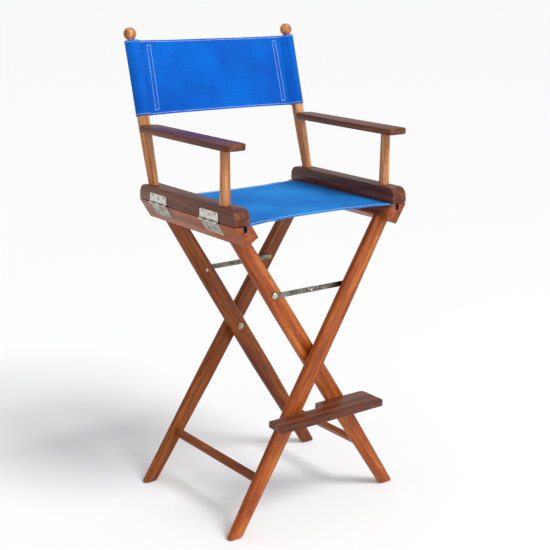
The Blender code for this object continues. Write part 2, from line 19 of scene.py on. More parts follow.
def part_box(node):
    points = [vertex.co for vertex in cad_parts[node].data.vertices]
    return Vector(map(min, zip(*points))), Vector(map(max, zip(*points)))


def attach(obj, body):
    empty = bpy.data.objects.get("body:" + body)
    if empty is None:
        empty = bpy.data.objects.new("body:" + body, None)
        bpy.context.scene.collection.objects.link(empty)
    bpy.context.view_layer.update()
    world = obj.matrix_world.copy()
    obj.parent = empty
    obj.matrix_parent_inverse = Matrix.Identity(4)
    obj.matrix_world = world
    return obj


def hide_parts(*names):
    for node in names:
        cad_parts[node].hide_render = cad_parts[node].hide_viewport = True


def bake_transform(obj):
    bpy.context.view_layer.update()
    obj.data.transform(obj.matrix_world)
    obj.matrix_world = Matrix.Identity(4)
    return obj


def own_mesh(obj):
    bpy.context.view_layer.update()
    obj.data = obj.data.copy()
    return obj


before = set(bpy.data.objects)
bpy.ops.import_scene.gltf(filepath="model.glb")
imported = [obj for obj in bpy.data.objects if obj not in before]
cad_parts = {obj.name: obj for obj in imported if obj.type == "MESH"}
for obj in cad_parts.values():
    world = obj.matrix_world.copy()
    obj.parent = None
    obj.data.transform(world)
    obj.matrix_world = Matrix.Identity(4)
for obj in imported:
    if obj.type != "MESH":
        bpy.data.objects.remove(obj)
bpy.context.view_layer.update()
log = logging.getLogger("chair")
Pair = tuple[float, float]


class Side(Enum):
    """The two leg frames and the arm frames above them, by the sign of X."""

    INNER = -1
    OUTER = 1

    @property
    def body(self) -> str:
        """Name of the leg frame's body."""
        return "inner_frame" if self is Side.INNER else "outer_frame"

    @property
    def arm_body(self) -> str:
        """Name of the body of the arm frame on this side."""
        return "left_arm" if self is Side.INNER else "right_arm"

    @property
    def frame(self) -> str:
        """Word that starts the names of the leg frame's pieces."""
        return "inner" if self is Side.INNER else "outer"

    @property
    def hand(self) -> str:
        """Word that starts the names of the arm frame's pieces."""
        return "left" if self is Side.INNER else "right"


class End(Enum):
    """Front or rear, by the sign of Y."""

    FRONT = -1
    REAR = 1

    @property
    def word(self) -> str:
        """The word used in piece names."""
        return self.name.lower()


# ---- node and colour helpers --------------------------------------------------------------


def linear(code: str) -> tuple[float, float, float, float]:
    """Turn an sRGB hex value to a linear colour.

    Args:
        code: Six hex digits, such as "0A66D8".

    Returns:
        Linear red, green, blue and an alpha of 1.
    """
    parts = [int(code[k:k + 2], 16) / 255 for k in (0, 2, 4)]
    plain = [c / 12.92 if c <= 0.04045 else ((c + 0.055) / 1.055) ** 2.4 for c in parts]
    return (plain[0], plain[1], plain[2], 1.0)


def add(tree: bpy.types.NodeTree, kind: str, inputs: dict[Any, Any] | None = None,
        **settings: Any) -> bpy.types.Node:
    """Add a node with its settings, values and links.

    Args:
        tree: Tree that the node goes into.
        kind: Blender's name of the node type.
        inputs: Value or output socket for each input, by name or number.
        **settings: Properties of the node.

    Returns:
        The new node.
    """
    made = tree.nodes.new(kind)
    for key, value in settings.items():
        setattr(made, key, value)
    for key, value in (inputs or {}).items():
        if isinstance(value, bpy.types.NodeSocket):
            tree.links.new(value, made.inputs[key])
        else:
            made.inputs[key].default_value = value
    return made


def ramp(tree: bpy.types.NodeTree, fac: bpy.types.NodeSocket,
         stops: Sequence[tuple[float, tuple[float, float, float, float]]],
         ) -> bpy.types.NodeSocket:
    """Colour ramp through the given stops.

    Args:
        tree: Tree that the ramp goes into.
        fac: Socket that drives it.
        stops: Position and colour of each stop.

    Returns:
        The ramp's colour output.
    """
    made = add(tree, "ShaderNodeValToRGB", {"Fac": fac})
    elements = made.color_ramp.elements
    while len(elements) < len(stops):
        elements.new(0.5)
    for element, (at, colour) in zip(elements, stops):
        element.position, element.color = at, colour
    return made.outputs["Color"]


def new_material(name: str, **values: Any) -> tuple[Any, Any, Any]:
    """Start a Principled material.

    Args:
        name: The material's name.
        **values: Uniform values for the shader's own sockets, with _ for each space.

    Returns:
        The material, its tree and its shader node.
    """
    made = bpy.data.materials.new(name)
    made.use_nodes = True
    tree = made.node_tree
    shader = tree.nodes["Principled BSDF"]
    for key, value in values.items():
        shader.inputs[key.replace("_", " ")].default_value = value
    return made, tree, shader


def shade(level: float) -> tuple[float, float, float, float]:
    """A grey for ramps that carry a number."""
    return (level, level, level, 1.0)


# ---- finishes -----------------------------------------------------------------------------


@dataclass(frozen=True)
class Wood:
    """Oiled and varnished hardwood: open pores along the grain and a thin satin coat."""

    name: str
    dark: str
    mid: str
    light: str
    pore: str
    roughness: Pair = (0.36, 0.52)
    band: float = 0.016  # a growth band across the grain
    pore_wide: float = 0.0018  # real pores are 0.3 mm, drawn this coarse so that they show
    pore_long: float = 0.030
    pores: float = 0.55  # how strongly pores darken the wood
    coat: float = 0.10  # share of the surface under a glossy film

    def material(self, along: Sequence[float], title: str) -> bpy.types.Material:
        """Wood with its grain along a direction.

        Args:
            along: Direction of the grain in the chair's frame.
            title: Piece family that the material's name ends in.

        Returns:
            The material, made once for each name.
        """
        name = f"{self.name}_{title}"
        if name in bpy.data.materials:
            return bpy.data.materials[name]
        # Satin varnish over wood: IOR 1.5, a soft highlight from the coat.
        made, tree, shader = new_material(name, IOR=1.5, Specular_IOR_Level=0.25,
                                          Coat_Weight=self.coat, Coat_Roughness=0.2)
        turn = Vector(along).to_track_quat("X", "Z").to_euler()
        where = add(tree, "ShaderNodeTexCoord").outputs["Object"]

        def field_of(long: float, wide: float, detail: float, twist: float) -> Any:
            """Noise drawn out along the grain: its length, width, detail and distortion."""
            place = add(tree, "ShaderNodeMapping", {
                "Vector": where, "Rotation": turn, "Scale": (long, wide, wide)},
                vector_type="TEXTURE")
            return add(tree, "ShaderNodeTexNoise", {
                "Vector": place.outputs[0], "Scale": 1.0, "Detail": detail,
                "Roughness": 0.55, "Distortion": twist}).outputs["Fac"]
        bands = field_of(0.22, self.band, 3.0, 0.15)
        streaks = field_of(0.07, 0.0034, 3.0, 0.1)
        blotch = field_of(0.16, 0.05, 1.0, 0.0)
        pores = field_of(self.pore_long, self.pore_wide, 1.0, 0.0)
        body = ramp(tree, bands, ((0.30, linear(self.dark)), (0.50, linear(self.mid)),
                                  (0.70, linear(self.light))))
        tone = ramp(tree, streaks, ((0.30, shade(0.78)), (0.62, shade(1.10))))
        mixed = add(tree, "ShaderNodeMix", {0: 1.0, 6: body, 7: tone}, data_type="RGBA",
                    blend_type="MULTIPLY")
        warm = ramp(tree, blotch, ((0.35, (0.93, 0.88, 0.84, 1.0)), (0.65, shade(1.06))))
        mixed = add(tree, "ShaderNodeMix", {0: 1.0, 6: mixed.outputs[2], 7: warm},
                    data_type="RGBA", blend_type="MULTIPLY")
        holes = ramp(tree, pores, ((0.33, shade(self.pores)), (0.43, shade(0.0))))
        final = add(tree, "ShaderNodeMix", {0: holes, 6: mixed.outputs[2],
                                            7: linear(self.pore)}, data_type="RGBA")
        tree.links.new(final.outputs[2], shader.inputs["Base Color"])
        rough = add(tree, "ShaderNodeMapRange", {
            0: streaks, 1: 0.3, 2: 0.7, 3: self.roughness[0], 4: self.roughness[1]})
        tree.links.new(rough.outputs[0], shader.inputs["Roughness"])
        height = add(tree, "ShaderNodeMath", {0: bands, 1: pores}, operation="ADD")
        bump = add(tree, "ShaderNodeBump", {"Height": height.outputs[0], "Strength": 0.30,
                                            "Distance": 0.0006})
        tree.links.new(bump.outputs[0], shader.inputs["Normal"])
        return made


@dataclass(frozen=True)
class Canvas:
    """Dyed cotton duck: plain weave, matt, with a little fuzz at grazing angles."""

    name: str
    dark: str
    light: str
    thread: float = 0.0017  # threads are 0.6 mm apart, drawn this coarse so that they show

    def material(self) -> bpy.types.Material:
        """Canvas that follows the piece's own UV map, whose unit is a metre.

        Returns:
            The material, made once for each name.
        """
        if self.name in bpy.data.materials:
            return bpy.data.materials[self.name]
        # Cloth scatters light: no metal, high roughness, a short bluish sheen from the nap.
        made, tree, shader = new_material(
            self.name, Sheen_Weight=0.06, Sheen_Roughness=0.5,
            Sheen_Tint=(0.4, 0.8, 1.0, 1.0), IOR=1.45, Specular_IOR_Level=0.15)
        where = add(tree, "ShaderNodeUVMap", uv_map="UVMap").outputs[0]
        axes = add(tree, "ShaderNodeSeparateXYZ", {0: where})
        waves = []
        for k in (0, 1):
            turns = add(tree, "ShaderNodeMath", {0: axes.outputs[k],
                                                 1: math.pi / self.thread},
                        operation="MULTIPLY")
            waves.append(add(tree, "ShaderNodeMath", {0: turns.outputs[0]},
                             operation="SINE").outputs[0])
        weave = add(tree, "ShaderNodeMath", {0: waves[0], 1: waves[1]}, operation="MULTIPLY")
        slubs = []
        for stretch in ((0.035, 0.0022, 1.0), (0.0022, 0.045, 1.0)):
            place = add(tree, "ShaderNodeMapping", {"Vector": where, "Scale": stretch},
                        vector_type="TEXTURE")
            slubs.append(add(tree, "ShaderNodeTexNoise", {
                "Vector": place.outputs[0], "Scale": 1.0, "Detail": 2.0}).outputs["Fac"])
        both = add(tree, "ShaderNodeMath", {0: slubs[0], 1: slubs[1]}, operation="ADD")
        cloudy = add(tree, "ShaderNodeTexNoise", {"Vector": where, "Scale": 6.0,
                                                  "Detail": 2.0}).outputs["Fac"]
        worn = add(tree, "ShaderNodeMath", {0: cloudy, 1: both.outputs[0]},
                   operation="MULTIPLY")
        fine = add(tree, "ShaderNodeMath", {0: weave.outputs[0], 1: 0.05,
                                            2: worn.outputs[0]}, operation="MULTIPLY_ADD")
        colour = ramp(tree, fine.outputs[0], ((0.34, linear(self.dark)),
                                              (0.66, linear(self.light))))
        tree.links.new(colour, shader.inputs["Base Color"])
        rough = add(tree, "ShaderNodeMapRange", {0: both.outputs[0], 1: 0.7, 2: 1.3,
                                                 3: 0.78, 4: 0.92})
        tree.links.new(rough.outputs[0], shader.inputs["Roughness"])
        height = add(tree, "ShaderNodeMath", {0: both.outputs[0], 1: 0.8,
                                              2: weave.outputs[0]},
                     operation="MULTIPLY_ADD")
        bump = add(tree, "ShaderNodeBump", {"Height": height.outputs[0], "Strength": 0.35,
                                            "Distance": 0.00022})
        tree.links.new(bump.outputs[0], shader.inputs["Normal"])
        return made


@dataclass(frozen=True)
class Steel:
    """Rolled or turned steel: metallic, with fine marks along the way it was worked."""

    name: str
    dark: str
    light: str
    roughness: Pair
    marks: tuple[float, float, float] = (0.003, 0.030, 0.003)  # size of a mark along X, Y, Z

    def material(self) -> bpy.types.Material:
        """Steel with its marks and a few stains.

        Returns:
            The material, made once for each name.
        """
        if self.name in bpy.data.materials:
            return bpy.data.materials[self.name]
        # Bare metal: metallic 1, colour from its reflectance, roughness from the finish.
        made, tree, shader = new_material(self.name, Metallic=1.0)
        where = add(tree, "ShaderNodeTexCoord").outputs["Object"]
        place = add(tree, "ShaderNodeMapping", {"Vector": where, "Scale": self.marks},
                    vector_type="TEXTURE")
        brushed = add(tree, "ShaderNodeTexNoise", {"Vector": place.outputs[0], "Scale": 1.0,
                                                   "Detail": 3.0}).outputs["Fac"]
        stains = add(tree, "ShaderNodeTexNoise", {"Vector": where, "Scale": 70.0,
                                                  "Detail": 4.0}).outputs["Fac"]
        both = add(tree, "ShaderNodeMath", {0: brushed, 1: stains}, operation="ADD")
        half = add(tree, "ShaderNodeMath", {0: both.outputs[0], 1: 0.5},
                   operation="MULTIPLY").outputs[0]
        colour = ramp(tree, half, ((0.36, linear(self.dark)), (0.60, linear(self.light))))
        tree.links.new(colour, shader.inputs["Base Color"])
        rough = add(tree, "ShaderNodeMapRange", {0: half, 1: 0.35, 2: 0.65,
                                                 3: self.roughness[1],
                                                 4: self.roughness[0]})
        tree.links.new(rough.outputs[0], shader.inputs["Roughness"])
        bump = add(tree, "ShaderNodeBump", {"Height": brushed, "Strength": 0.15,
                                            "Distance": 0.0001})
        tree.links.new(bump.outputs[0], shader.inputs["Normal"])
        return made


@dataclass(frozen=True)
class Thread:
    """White twisted cotton thread, matt, slightly uneven in tone."""

    name: str = "white_cotton_thread"

    def material(self) -> bpy.types.Material:
        """Thread with a patchy tone.

        Returns:
            The material, made once.
        """
        if self.name in bpy.data.materials:
            return bpy.data.materials[self.name]
        # Bleached cotton: matt and almost white, greyer where it has picked up dye.
        made, tree, shader = new_material(self.name, Sheen_Weight=0.1, IOR=1.45)
        where = add(tree, "ShaderNodeTexCoord").outputs["Object"]
        patchy = add(tree, "ShaderNodeTexNoise", {"Vector": where, "Scale": 160.0,
                                                  "Detail": 2.0}).outputs["Fac"]
        colour = ramp(tree, patchy, ((0.35, linear("B9CDEA")), (0.60, linear("F4F6FA"))))
        tree.links.new(colour, shader.inputs["Base Color"])
        rough = add(tree, "ShaderNodeMapRange", {0: patchy, 3: 0.65, 4: 0.85})
        tree.links.new(rough.outputs[0], shader.inputs["Roughness"])
        return made


FRAME_WOOD = Wood("stained_teak", "7C360C", "A24F18", "BE7032", "3E1604")
# A darker copy of the frame's stained teak, its darkness painted shade for the rails' side faces.
SHADED_RAIL_WOOD = Wood("stained_teak_bar", "743411", "8E441C", "A65A2C", "3C1808")
# A darker copy of the frame's stained teak, its darkness painted shade for the rear legs and the
# stretchers that the seat shades.
SHADED_WOOD = Wood("painted_shade_stained_teak", "602806", "86400E", "A66022", "301204")
ARM_WOOD = Wood("dark_iroko", "4A200E", "66311A", "84492A", "280F07", (0.34, 0.50),
                pores=0.7, coat=0.14)
POST_WOOD = Wood("turned_teak", "9C5C32", "C48454", "DEAC7E", "643818", band=0.010)
# Near-black blue for the seat dowels, painted shade for the grooves they lie in.
SHADED_ROD_WOOD = Wood("painted_shade_rod", "12141F", "1A1E2E", "252A3E", "0B0C12")
DUCK = Canvas("blue_cotton_duck", "0052B6", "006AD0")
# Dark navy canvas for the seat's hem down in the rails' grooves, painted shade.
GROOVE_SHADE_CANVAS = Canvas("painted_shade_groove_canvas", "060C2C", "0E1844")
# A lighter copy of the blue duck: painted light for the seat's top, which faces the key light.
LIT_SEAT_DUCK = Canvas("faded_blue_cotton_duck", "0A6CC2", "1E8ADA")
HINGE_STEEL = Steel("rolled_stainless_steel", "C4BFB6", "DAD6CE", (0.30, 0.44))
# Darker copy of the hinge steel for the lower leaves: real scuffs, with painted shade and a
# painted darker reflection from below.
SCUFFED_SHADED_STEEL = Steel("scuffed_stainless_steel", "87837A", "B4AFA4", (0.34, 0.55))
BRASS = Steel("aged_brass", "7E6E40", "B09C62", (0.28, 0.45))
STAY_STEEL = Steel("oiled_strip_steel", "4C4A42", "86827A", (0.26, 0.44),
                   marks=(0.040, 0.003, 0.003))
BOLT_STEEL = Steel("turned_zinc_steel", "9C978B", "CFCAC0", (0.22, 0.40),
                   marks=(0.002, 0.002, 0.002))


# ---- mesh helpers -------------------------------------------------------------------------


def stand(name: str, data: Any) -> bpy.types.Object:
    """Put a mesh, light or camera into the scene as a new object.

    Args:
        name: The object's name.
        data: What it shows.

    Returns:
        The new object, at the origin.
    """
    made = bpy.data.objects.new(name, data)
    bpy.context.scene.collection.objects.link(made)
    return made


def to_object(name: str, bm: bmesh.types.BMesh, material: bpy.types.Material,
              sharp: float = 38.0) -> bpy.types.Object:
    """Write a bmesh to a new object at the origin, smooth except at sharp edges.

    Args:
        name: Piece name.
        bm: The mesh, which is freed.
        material: Its finish.
        sharp: Angle in degrees past which an edge stays sharp.

    Returns:
        The new object.
    """
    bmesh.ops.recalc_face_normals(bm, faces=bm.faces[:])
    mesh = bpy.data.meshes.new(name)
    bm.to_mesh(mesh)
    bm.free()
    mesh.materials.append(material)
    mesh.shade_smooth()
    mesh.set_sharp_from_angle(angle=math.radians(sharp))
    return stand(name, mesh)


def loft(name: str, rings: Sequence[Sequence[Sequence[float]]], material: bpy.types.Material,
         sharp: float = 38.0) -> bpy.types.Object:
    """A closed body through rings with the same number of points.

    Args:
        name: Piece name.
        rings: The sections from end to end.
        material: Its finish.
        sharp: Angle in degrees past which an edge stays sharp.

    Returns:
        The new object.
    """
    bm = bmesh.new()
    rows = [[bm.verts.new(p) for p in ring] for ring in rings]
    count = len(rows[0])
    for low, high in zip(rows, rows[1:]):
        for i in range(count):
            j = (i + 1) % count
            bm.faces.new((low[i], low[j], high[j], high[i]))
    bm.faces.new(rows[0][::-1])
    bm.faces.new(rows[-1])
    return to_object(name, bm, material, sharp)


def prism(name: str, outline: Sequence[Pair], low: float, high: float,
          place: Callable[[float, float, float], Sequence[float]],
          material: bpy.types.Material, round_by: float,
          segments: int = 3) -> bpy.types.Object:
    """A flat outline carried from low to high with its sharp edges rounded.

    Args:
        name: Piece name.
        outline: Corners of the outline.
        low: Where the body starts.
        high: Where it ends.
        place: Gives the point in space of an outline point at a height.
        material: Its finish.
        round_by: Radius of the rounded edges.
        segments: Steps of the rounding.

    Returns:
        The new object.
    """
    bm = bmesh.new()
    rows = [[bm.verts.new(place(a, b, h)) for a, b in outline] for h in (low, high)]
    count = len(outline)
    for i in range(count):
        j = (i + 1) % count
        bm.faces.new((rows[0][i], rows[0][j], rows[1][j], rows[1][i]))
    bm.faces.new(rows[0][::-1])
    bm.faces.new(rows[1])
    bmesh.ops.recalc_face_normals(bm, faces=bm.faces[:])
    sharp = [e for e in bm.edges if e.calc_face_angle(0.0) > math.radians(30)]
    bmesh.ops.bevel(bm, geom=sharp, offset=round_by, segments=segments, profile=0.5,
                    affect="EDGES", clamp_overlap=True)
    return to_object(name, bm, material)


def turned(name: str, base: Sequence[float], axis: Sequence[float],
           profile: Iterable[Pair], material: bpy.types.Material,
           segments: int = 40) -> bpy.types.Object:
    """A body turned about an axis.

    Args:
        name: Piece name.
        base: Point where the profile starts.
        axis: Direction of the axis.
        profile: Distance along the axis and radius, from end to end.
        material: Its finish.
        segments: Steps round the axis.

    Returns:
        The new object.
    """
    way = Vector(axis).normalized()
    side = way.orthogonal().normalized()
    other = way.cross(side)
    rings = []
    for along, radius in profile:
        centre = Vector(base) + way * along
        rings.append([centre + (side * math.cos(a) + other * math.sin(a)) * radius
                      for a in (2 * math.pi * k / segments for k in range(segments))])
    return loft(name, rings, material, 42.0)


def rounded_box(half_wide: float, half_thick: float, radius: float,
                steps: int = 7) -> list[Pair]:
    """Outline of a rectangle with round corners, anticlockwise about the origin.

    Args:
        half_wide: Half of its width.
        half_thick: Half of its thickness.
        radius: Radius of the corners.
        steps: Steps round each corner.

    Returns:
        The outline's points, the same number at each corner.
    """
    x, y = half_wide - radius, half_thick - radius
    corners = ((x, y, 0), (-x, y, 90), (-x, -y, 180), (x, -y, 270))
    return [(cx + radius * math.cos(math.radians(start + 90 * k / steps)),
             cy + radius * math.sin(math.radians(start + 90 * k / steps)))
            for cx, cy, start in corners for k in range(steps + 1)]


def cloth(name: str, grid: np.ndarray, thick: np.ndarray, finish: Canvas,
          wrap: bool = False) -> bpy.types.Object:
    """A closed sheet of cloth over a grid of points on its middle surface.

    Args:
        name: Piece name.
        grid: Points as an array of rows, columns and X, Y, Z.
        thick: Thickness at each point.
        finish: The canvas it is cut from.
        wrap: True if the rows close into a tube.

    Returns:
        The new object, in canvas, with a UV map in metres.
    """
    rows, cols = grid.shape[:2]
    uv = lengths(grid)
    if wrap:
        across = np.roll(grid, -1, 0) - np.roll(grid, 1, 0)
    else:
        across = np.gradient(grid, axis=0)
    normal = np.cross(across, np.gradient(grid, axis=1))
    normal /= np.linalg.norm(normal, axis=2, keepdims=True)
    layers = [grid + normal * (sign * thick[..., None] / 2) for sign in (1, -1)]
    bm = bmesh.new()
    sheet = bm.loops.layers.uv.new("UVMap")
    verts = [[[bm.verts.new(layer[i, j]) for j in range(cols)] for i in range(rows)]
             for layer in layers]

    def face(corners: Sequence[tuple[int, int, int]]) -> None:
        """Add a face and its UVs from the layer, row and column of each corner."""
        made = bm.faces.new([verts[s][i % rows][j] for s, i, j in corners])
        for loop, (_, i, j) in zip(made.loops, corners):
            at = uv[i % rows, j]
            turn = uv[-1, j, 0] + uv[1, j, 0] if wrap and i >= rows else at[0]
            loop[sheet].uv = (turn, at[1])
    span = rows if wrap else rows - 1
    for i in range(span):
        for j in range(cols - 1):
            face([(0, i, j), (0, i + 1, j), (0, i + 1, j + 1), (0, i, j + 1)])
            face([(1, i, j), (1, i, j + 1), (1, i + 1, j + 1), (1, i + 1, j)])
        face([(0, i, 0), (1, i, 0), (1, i + 1, 0), (0, i + 1, 0)])
        face([(0, i, cols - 1), (0, i + 1, cols - 1), (1, i + 1, cols - 1), (1, i, cols - 1)])
    if not wrap:
        for j in range(cols - 1):
            face([(0, 0, j), (0, 0, j + 1), (1, 0, j + 1), (1, 0, j)])
            face([(0, rows - 1, j), (1, rows - 1, j), (1, rows - 1, j + 1),
                  (0, rows - 1, j + 1)])
    return to_object(name, bm, finish.material(), 55.0)


def lengths(grid: np.ndarray) -> np.ndarray:
    """Distance in metres along the rows and the columns of a grid, at each point.

    Args:
        grid: Points as an array of rows, columns and X, Y, Z.

    Returns:
        An array of rows, columns and the two distances.
    """
    out = np.zeros(grid.shape[:2] + (2,))
    for axis in (0, 1):
        steps = np.linalg.norm(np.diff(grid, axis=axis), axis=2)
        total = np.cumsum(steps, axis=axis)
        if axis == 0:
            out[1:, :, 0] = total.mean(axis=1, keepdims=True)
        else:
            out[:, 1:, 1] = total
    return out


def smooth(value: np.ndarray | float) -> np.ndarray:
    """A step from 0 to 1 with soft ends."""
    t = np.clip(value, 0.0, 1.0)
    return t * t * (3 - 2 * t)


# ---- geometry node trees ------------------------------------------------------------------


def start_tree(name: str, sockets: Sequence[tuple[str, str]]) -> tuple[Any, Any, Any]:
    """A geometry tree with named inputs.

    Args:
        name: The tree's name.
        sockets: Name and socket type of each input after the geometry.

    Returns:
        The tree, its input node and its output node.
    """
    tree = bpy.data.node_groups.new(name, "GeometryNodeTree")
    tree.interface.new_socket("Geometry", in_out="INPUT", socket_type="NodeSocketGeometry")
    for title, kind in sockets:
        tree.interface.new_socket(title, in_out="INPUT", socket_type=kind)
    tree.interface.new_socket("Geometry", in_out="OUTPUT", socket_type="NodeSocketGeometry")
    return tree, add(tree, "NodeGroupInput"), add(tree, "NodeGroupOutput")


def finish_tree(tree: Any, outlet: Any, instances: Any, material: Any) -> None:
    """Realize the instances, give them their material and end the tree.

    Args:
        tree: The tree.
        outlet: Its output node.
        instances: Socket that carries the instances.
        material: Socket that carries the material.
    """
    real = add(tree, "GeometryNodeRealizeInstances", {0: instances})
    dressed = add(tree, "GeometryNodeSetMaterial", {"Geometry": real.outputs[0],
                                                    "Material": material})
    tree.links.new(dressed.outputs[0], outlet.inputs[0])


def stitch_tree() -> bpy.types.NodeTree:
    """Thread stitches laid end to end along every run of edges.

    Returns:
        The tree, made once.
    """
    if "stitches" in bpy.data.node_groups:
        return bpy.data.node_groups["stitches"]
    tree, given, outlet = start_tree("stitches", (
        ("Pitch", "NodeSocketFloat"), ("Length", "NodeSocketFloat"),
        ("Radius", "NodeSocketFloat"), ("Material", "NodeSocketMaterial")))
    line = add(tree, "GeometryNodeMeshToCurve", {0: given.outputs["Geometry"]})
    spaced = add(tree, "GeometryNodeResampleCurve", {"Curve": line.outputs[0],
                                                     "Length": given.outputs["Pitch"]},
                 mode="LENGTH")
    bead = add(tree, "GeometryNodeMeshUVSphere", {"Segments": 6, "Rings": 5, "Radius": 1.0})
    half = add(tree, "ShaderNodeMath", {0: given.outputs["Length"], 1: 0.5},
               operation="MULTIPLY")
    size = add(tree, "ShaderNodeCombineXYZ", {
        0: given.outputs["Radius"], 1: given.outputs["Radius"], 2: half.outputs[0]})
    shaped = add(tree, "GeometryNodeTransform", {"Geometry": bead.outputs[0],
                                                 "Scale": size.outputs[0]})
    way = add(tree, "GeometryNodeInputTangent")
    turn = add(tree, "FunctionNodeAlignRotationToVector", {"Vector": way.outputs[0]},
               axis="Z")
    many = add(tree, "GeometryNodeInstanceOnPoints", {
        "Points": spaced.outputs[0], "Instance": shaped.outputs[0],
        "Rotation": turn.outputs[0]})
    finish_tree(tree, outlet, many.outputs[0], given.outputs["Material"])
    return tree


def screw_tree() -> bpy.types.NodeTree:
    """Flat screw heads with a cross recess, one on each point, turned to its facing.

    Returns:
        The tree, made once.
    """
    if "screws" in bpy.data.node_groups:
        return bpy.data.node_groups["screws"]
    tree, given, outlet = start_tree("screws", (
        ("Radius", "NodeSocketFloat"), ("Height", "NodeSocketFloat"),
        ("Material", "NodeSocketMaterial")))
    head = add(tree, "GeometryNodeMeshCone", {
        "Vertices": 20, "Side Segments": 1, "Radius Top": given.outputs["Radius"],
        "Radius Bottom": 0.0016, "Depth": given.outputs["Height"]})
    blades = []
    for wide, deep in ((0.32, 1.3), (1.3, 0.32)):
        cuts = [add(tree, "ShaderNodeMath", {0: given.outputs["Radius"], 1: share},
                    operation="MULTIPLY").outputs[0] for share in (wide, deep)]
        size = add(tree, "ShaderNodeCombineXYZ", {0: cuts[0], 1: cuts[1],
                                                  2: given.outputs["Height"]})
        cube = add(tree, "GeometryNodeMeshCube", {"Size": size.outputs[0]})
        lift = add(tree, "ShaderNodeMath", {0: given.outputs["Height"], 1: 1.1},
                   operation="MULTIPLY")
        up = add(tree, "ShaderNodeCombineXYZ", {2: lift.outputs[0]})
        blades.append(add(tree, "GeometryNodeTransform", {
            "Geometry": cube.outputs[0], "Translation": up.outputs[0]}).outputs[0])
    cross = add(tree, "GeometryNodeMeshBoolean", operation="UNION")
    for blade in blades:
        tree.links.new(blade, cross.inputs["Mesh 2"])
    cut = add(tree, "GeometryNodeMeshBoolean", {"Mesh 1": head.outputs[0],
                                                "Mesh 2": cross.outputs[0]},
              operation="DIFFERENCE")
    facing = add(tree, "GeometryNodeInputNamedAttribute", {"Name": "facing"},
                 data_type="FLOAT_VECTOR")
    turn = add(tree, "FunctionNodeAlignRotationToVector", {"Vector": facing.outputs[0]},
               axis="Z")
    many = add(tree, "GeometryNodeInstanceOnPoints", {
        "Points": given.outputs["Geometry"], "Instance": cut.outputs[0],
        "Rotation": turn.outputs[0]})
    finish_tree(tree, outlet, many.outputs[0], given.outputs["Material"])
    return tree


def grow(name: str, points: Sequence[Sequence[float]], edges: Sequence[tuple[int, int]],
         tree: bpy.types.NodeTree, values: dict[str, Any],
         facing: Sequence[Sequence[float]] | None = None) -> bpy.types.Object:
    """Run a geometry tree on points or lines and keep its result as a plain mesh.

    Args:
        name: Piece name.
        points: The guide's points.
        edges: Pairs of points that are joined.
        tree: The tree.
        values: Value of each named input.
        facing: Direction at each point, where the tree reads one.

    Returns:
        The new object, with no modifier left.
    """
    guide = bpy.data.meshes.new(name + "_guide")
    guide.from_pydata([tuple(p) for p in points], list(edges), [])
    if facing is not None:
        held = guide.attributes.new("facing", "FLOAT_VECTOR", "POINT")
        held.data.foreach_set("vector", [c for way in facing for c in way])
    source = stand(name + "_guide", guide)
    change = source.modifiers.new("nodes", "NODES")
    change.node_group = tree
    for item in tree.interface.items_tree:
        if item.in_out == "INPUT" and item.name in values:
            change[item.identifier] = values[item.name]
    graph = bpy.context.evaluated_depsgraph_get()
    mesh = bpy.data.meshes.new_from_object(source.evaluated_get(graph))
    mesh.name = name
    mesh.shade_smooth()
    mesh.set_sharp_from_angle(angle=math.radians(50))
    made = stand(name, mesh)
    bpy.data.objects.remove(source)
    bpy.data.meshes.remove(guide)
    return made


def stitches(name: str, runs: Sequence[Sequence[Sequence[float]]]) -> bpy.types.Object:
    """Sew rows of white stitches along runs of points.

    Args:
        name: Piece name.
        runs: Each row as points on the cloth's surface.

    Returns:
        The stitches as one mesh.
    """
    points: list[Sequence[float]] = []
    edges: list[tuple[int, int]] = []
    for run in runs:
        first = len(points)
        points += list(run)
        edges += [(first + k, first + k + 1) for k in range(len(run) - 1)]
    # The thread is about 0.5 mm thick, drawn at 1.1 mm so that it shows.
    return grow(name, points, edges, stitch_tree(), {
        "Pitch": 0.0044, "Length": 0.0038, "Radius": 0.00055,
        "Material": Thread().material()})


# ---- shared layout ------------------------------------------------------------------------


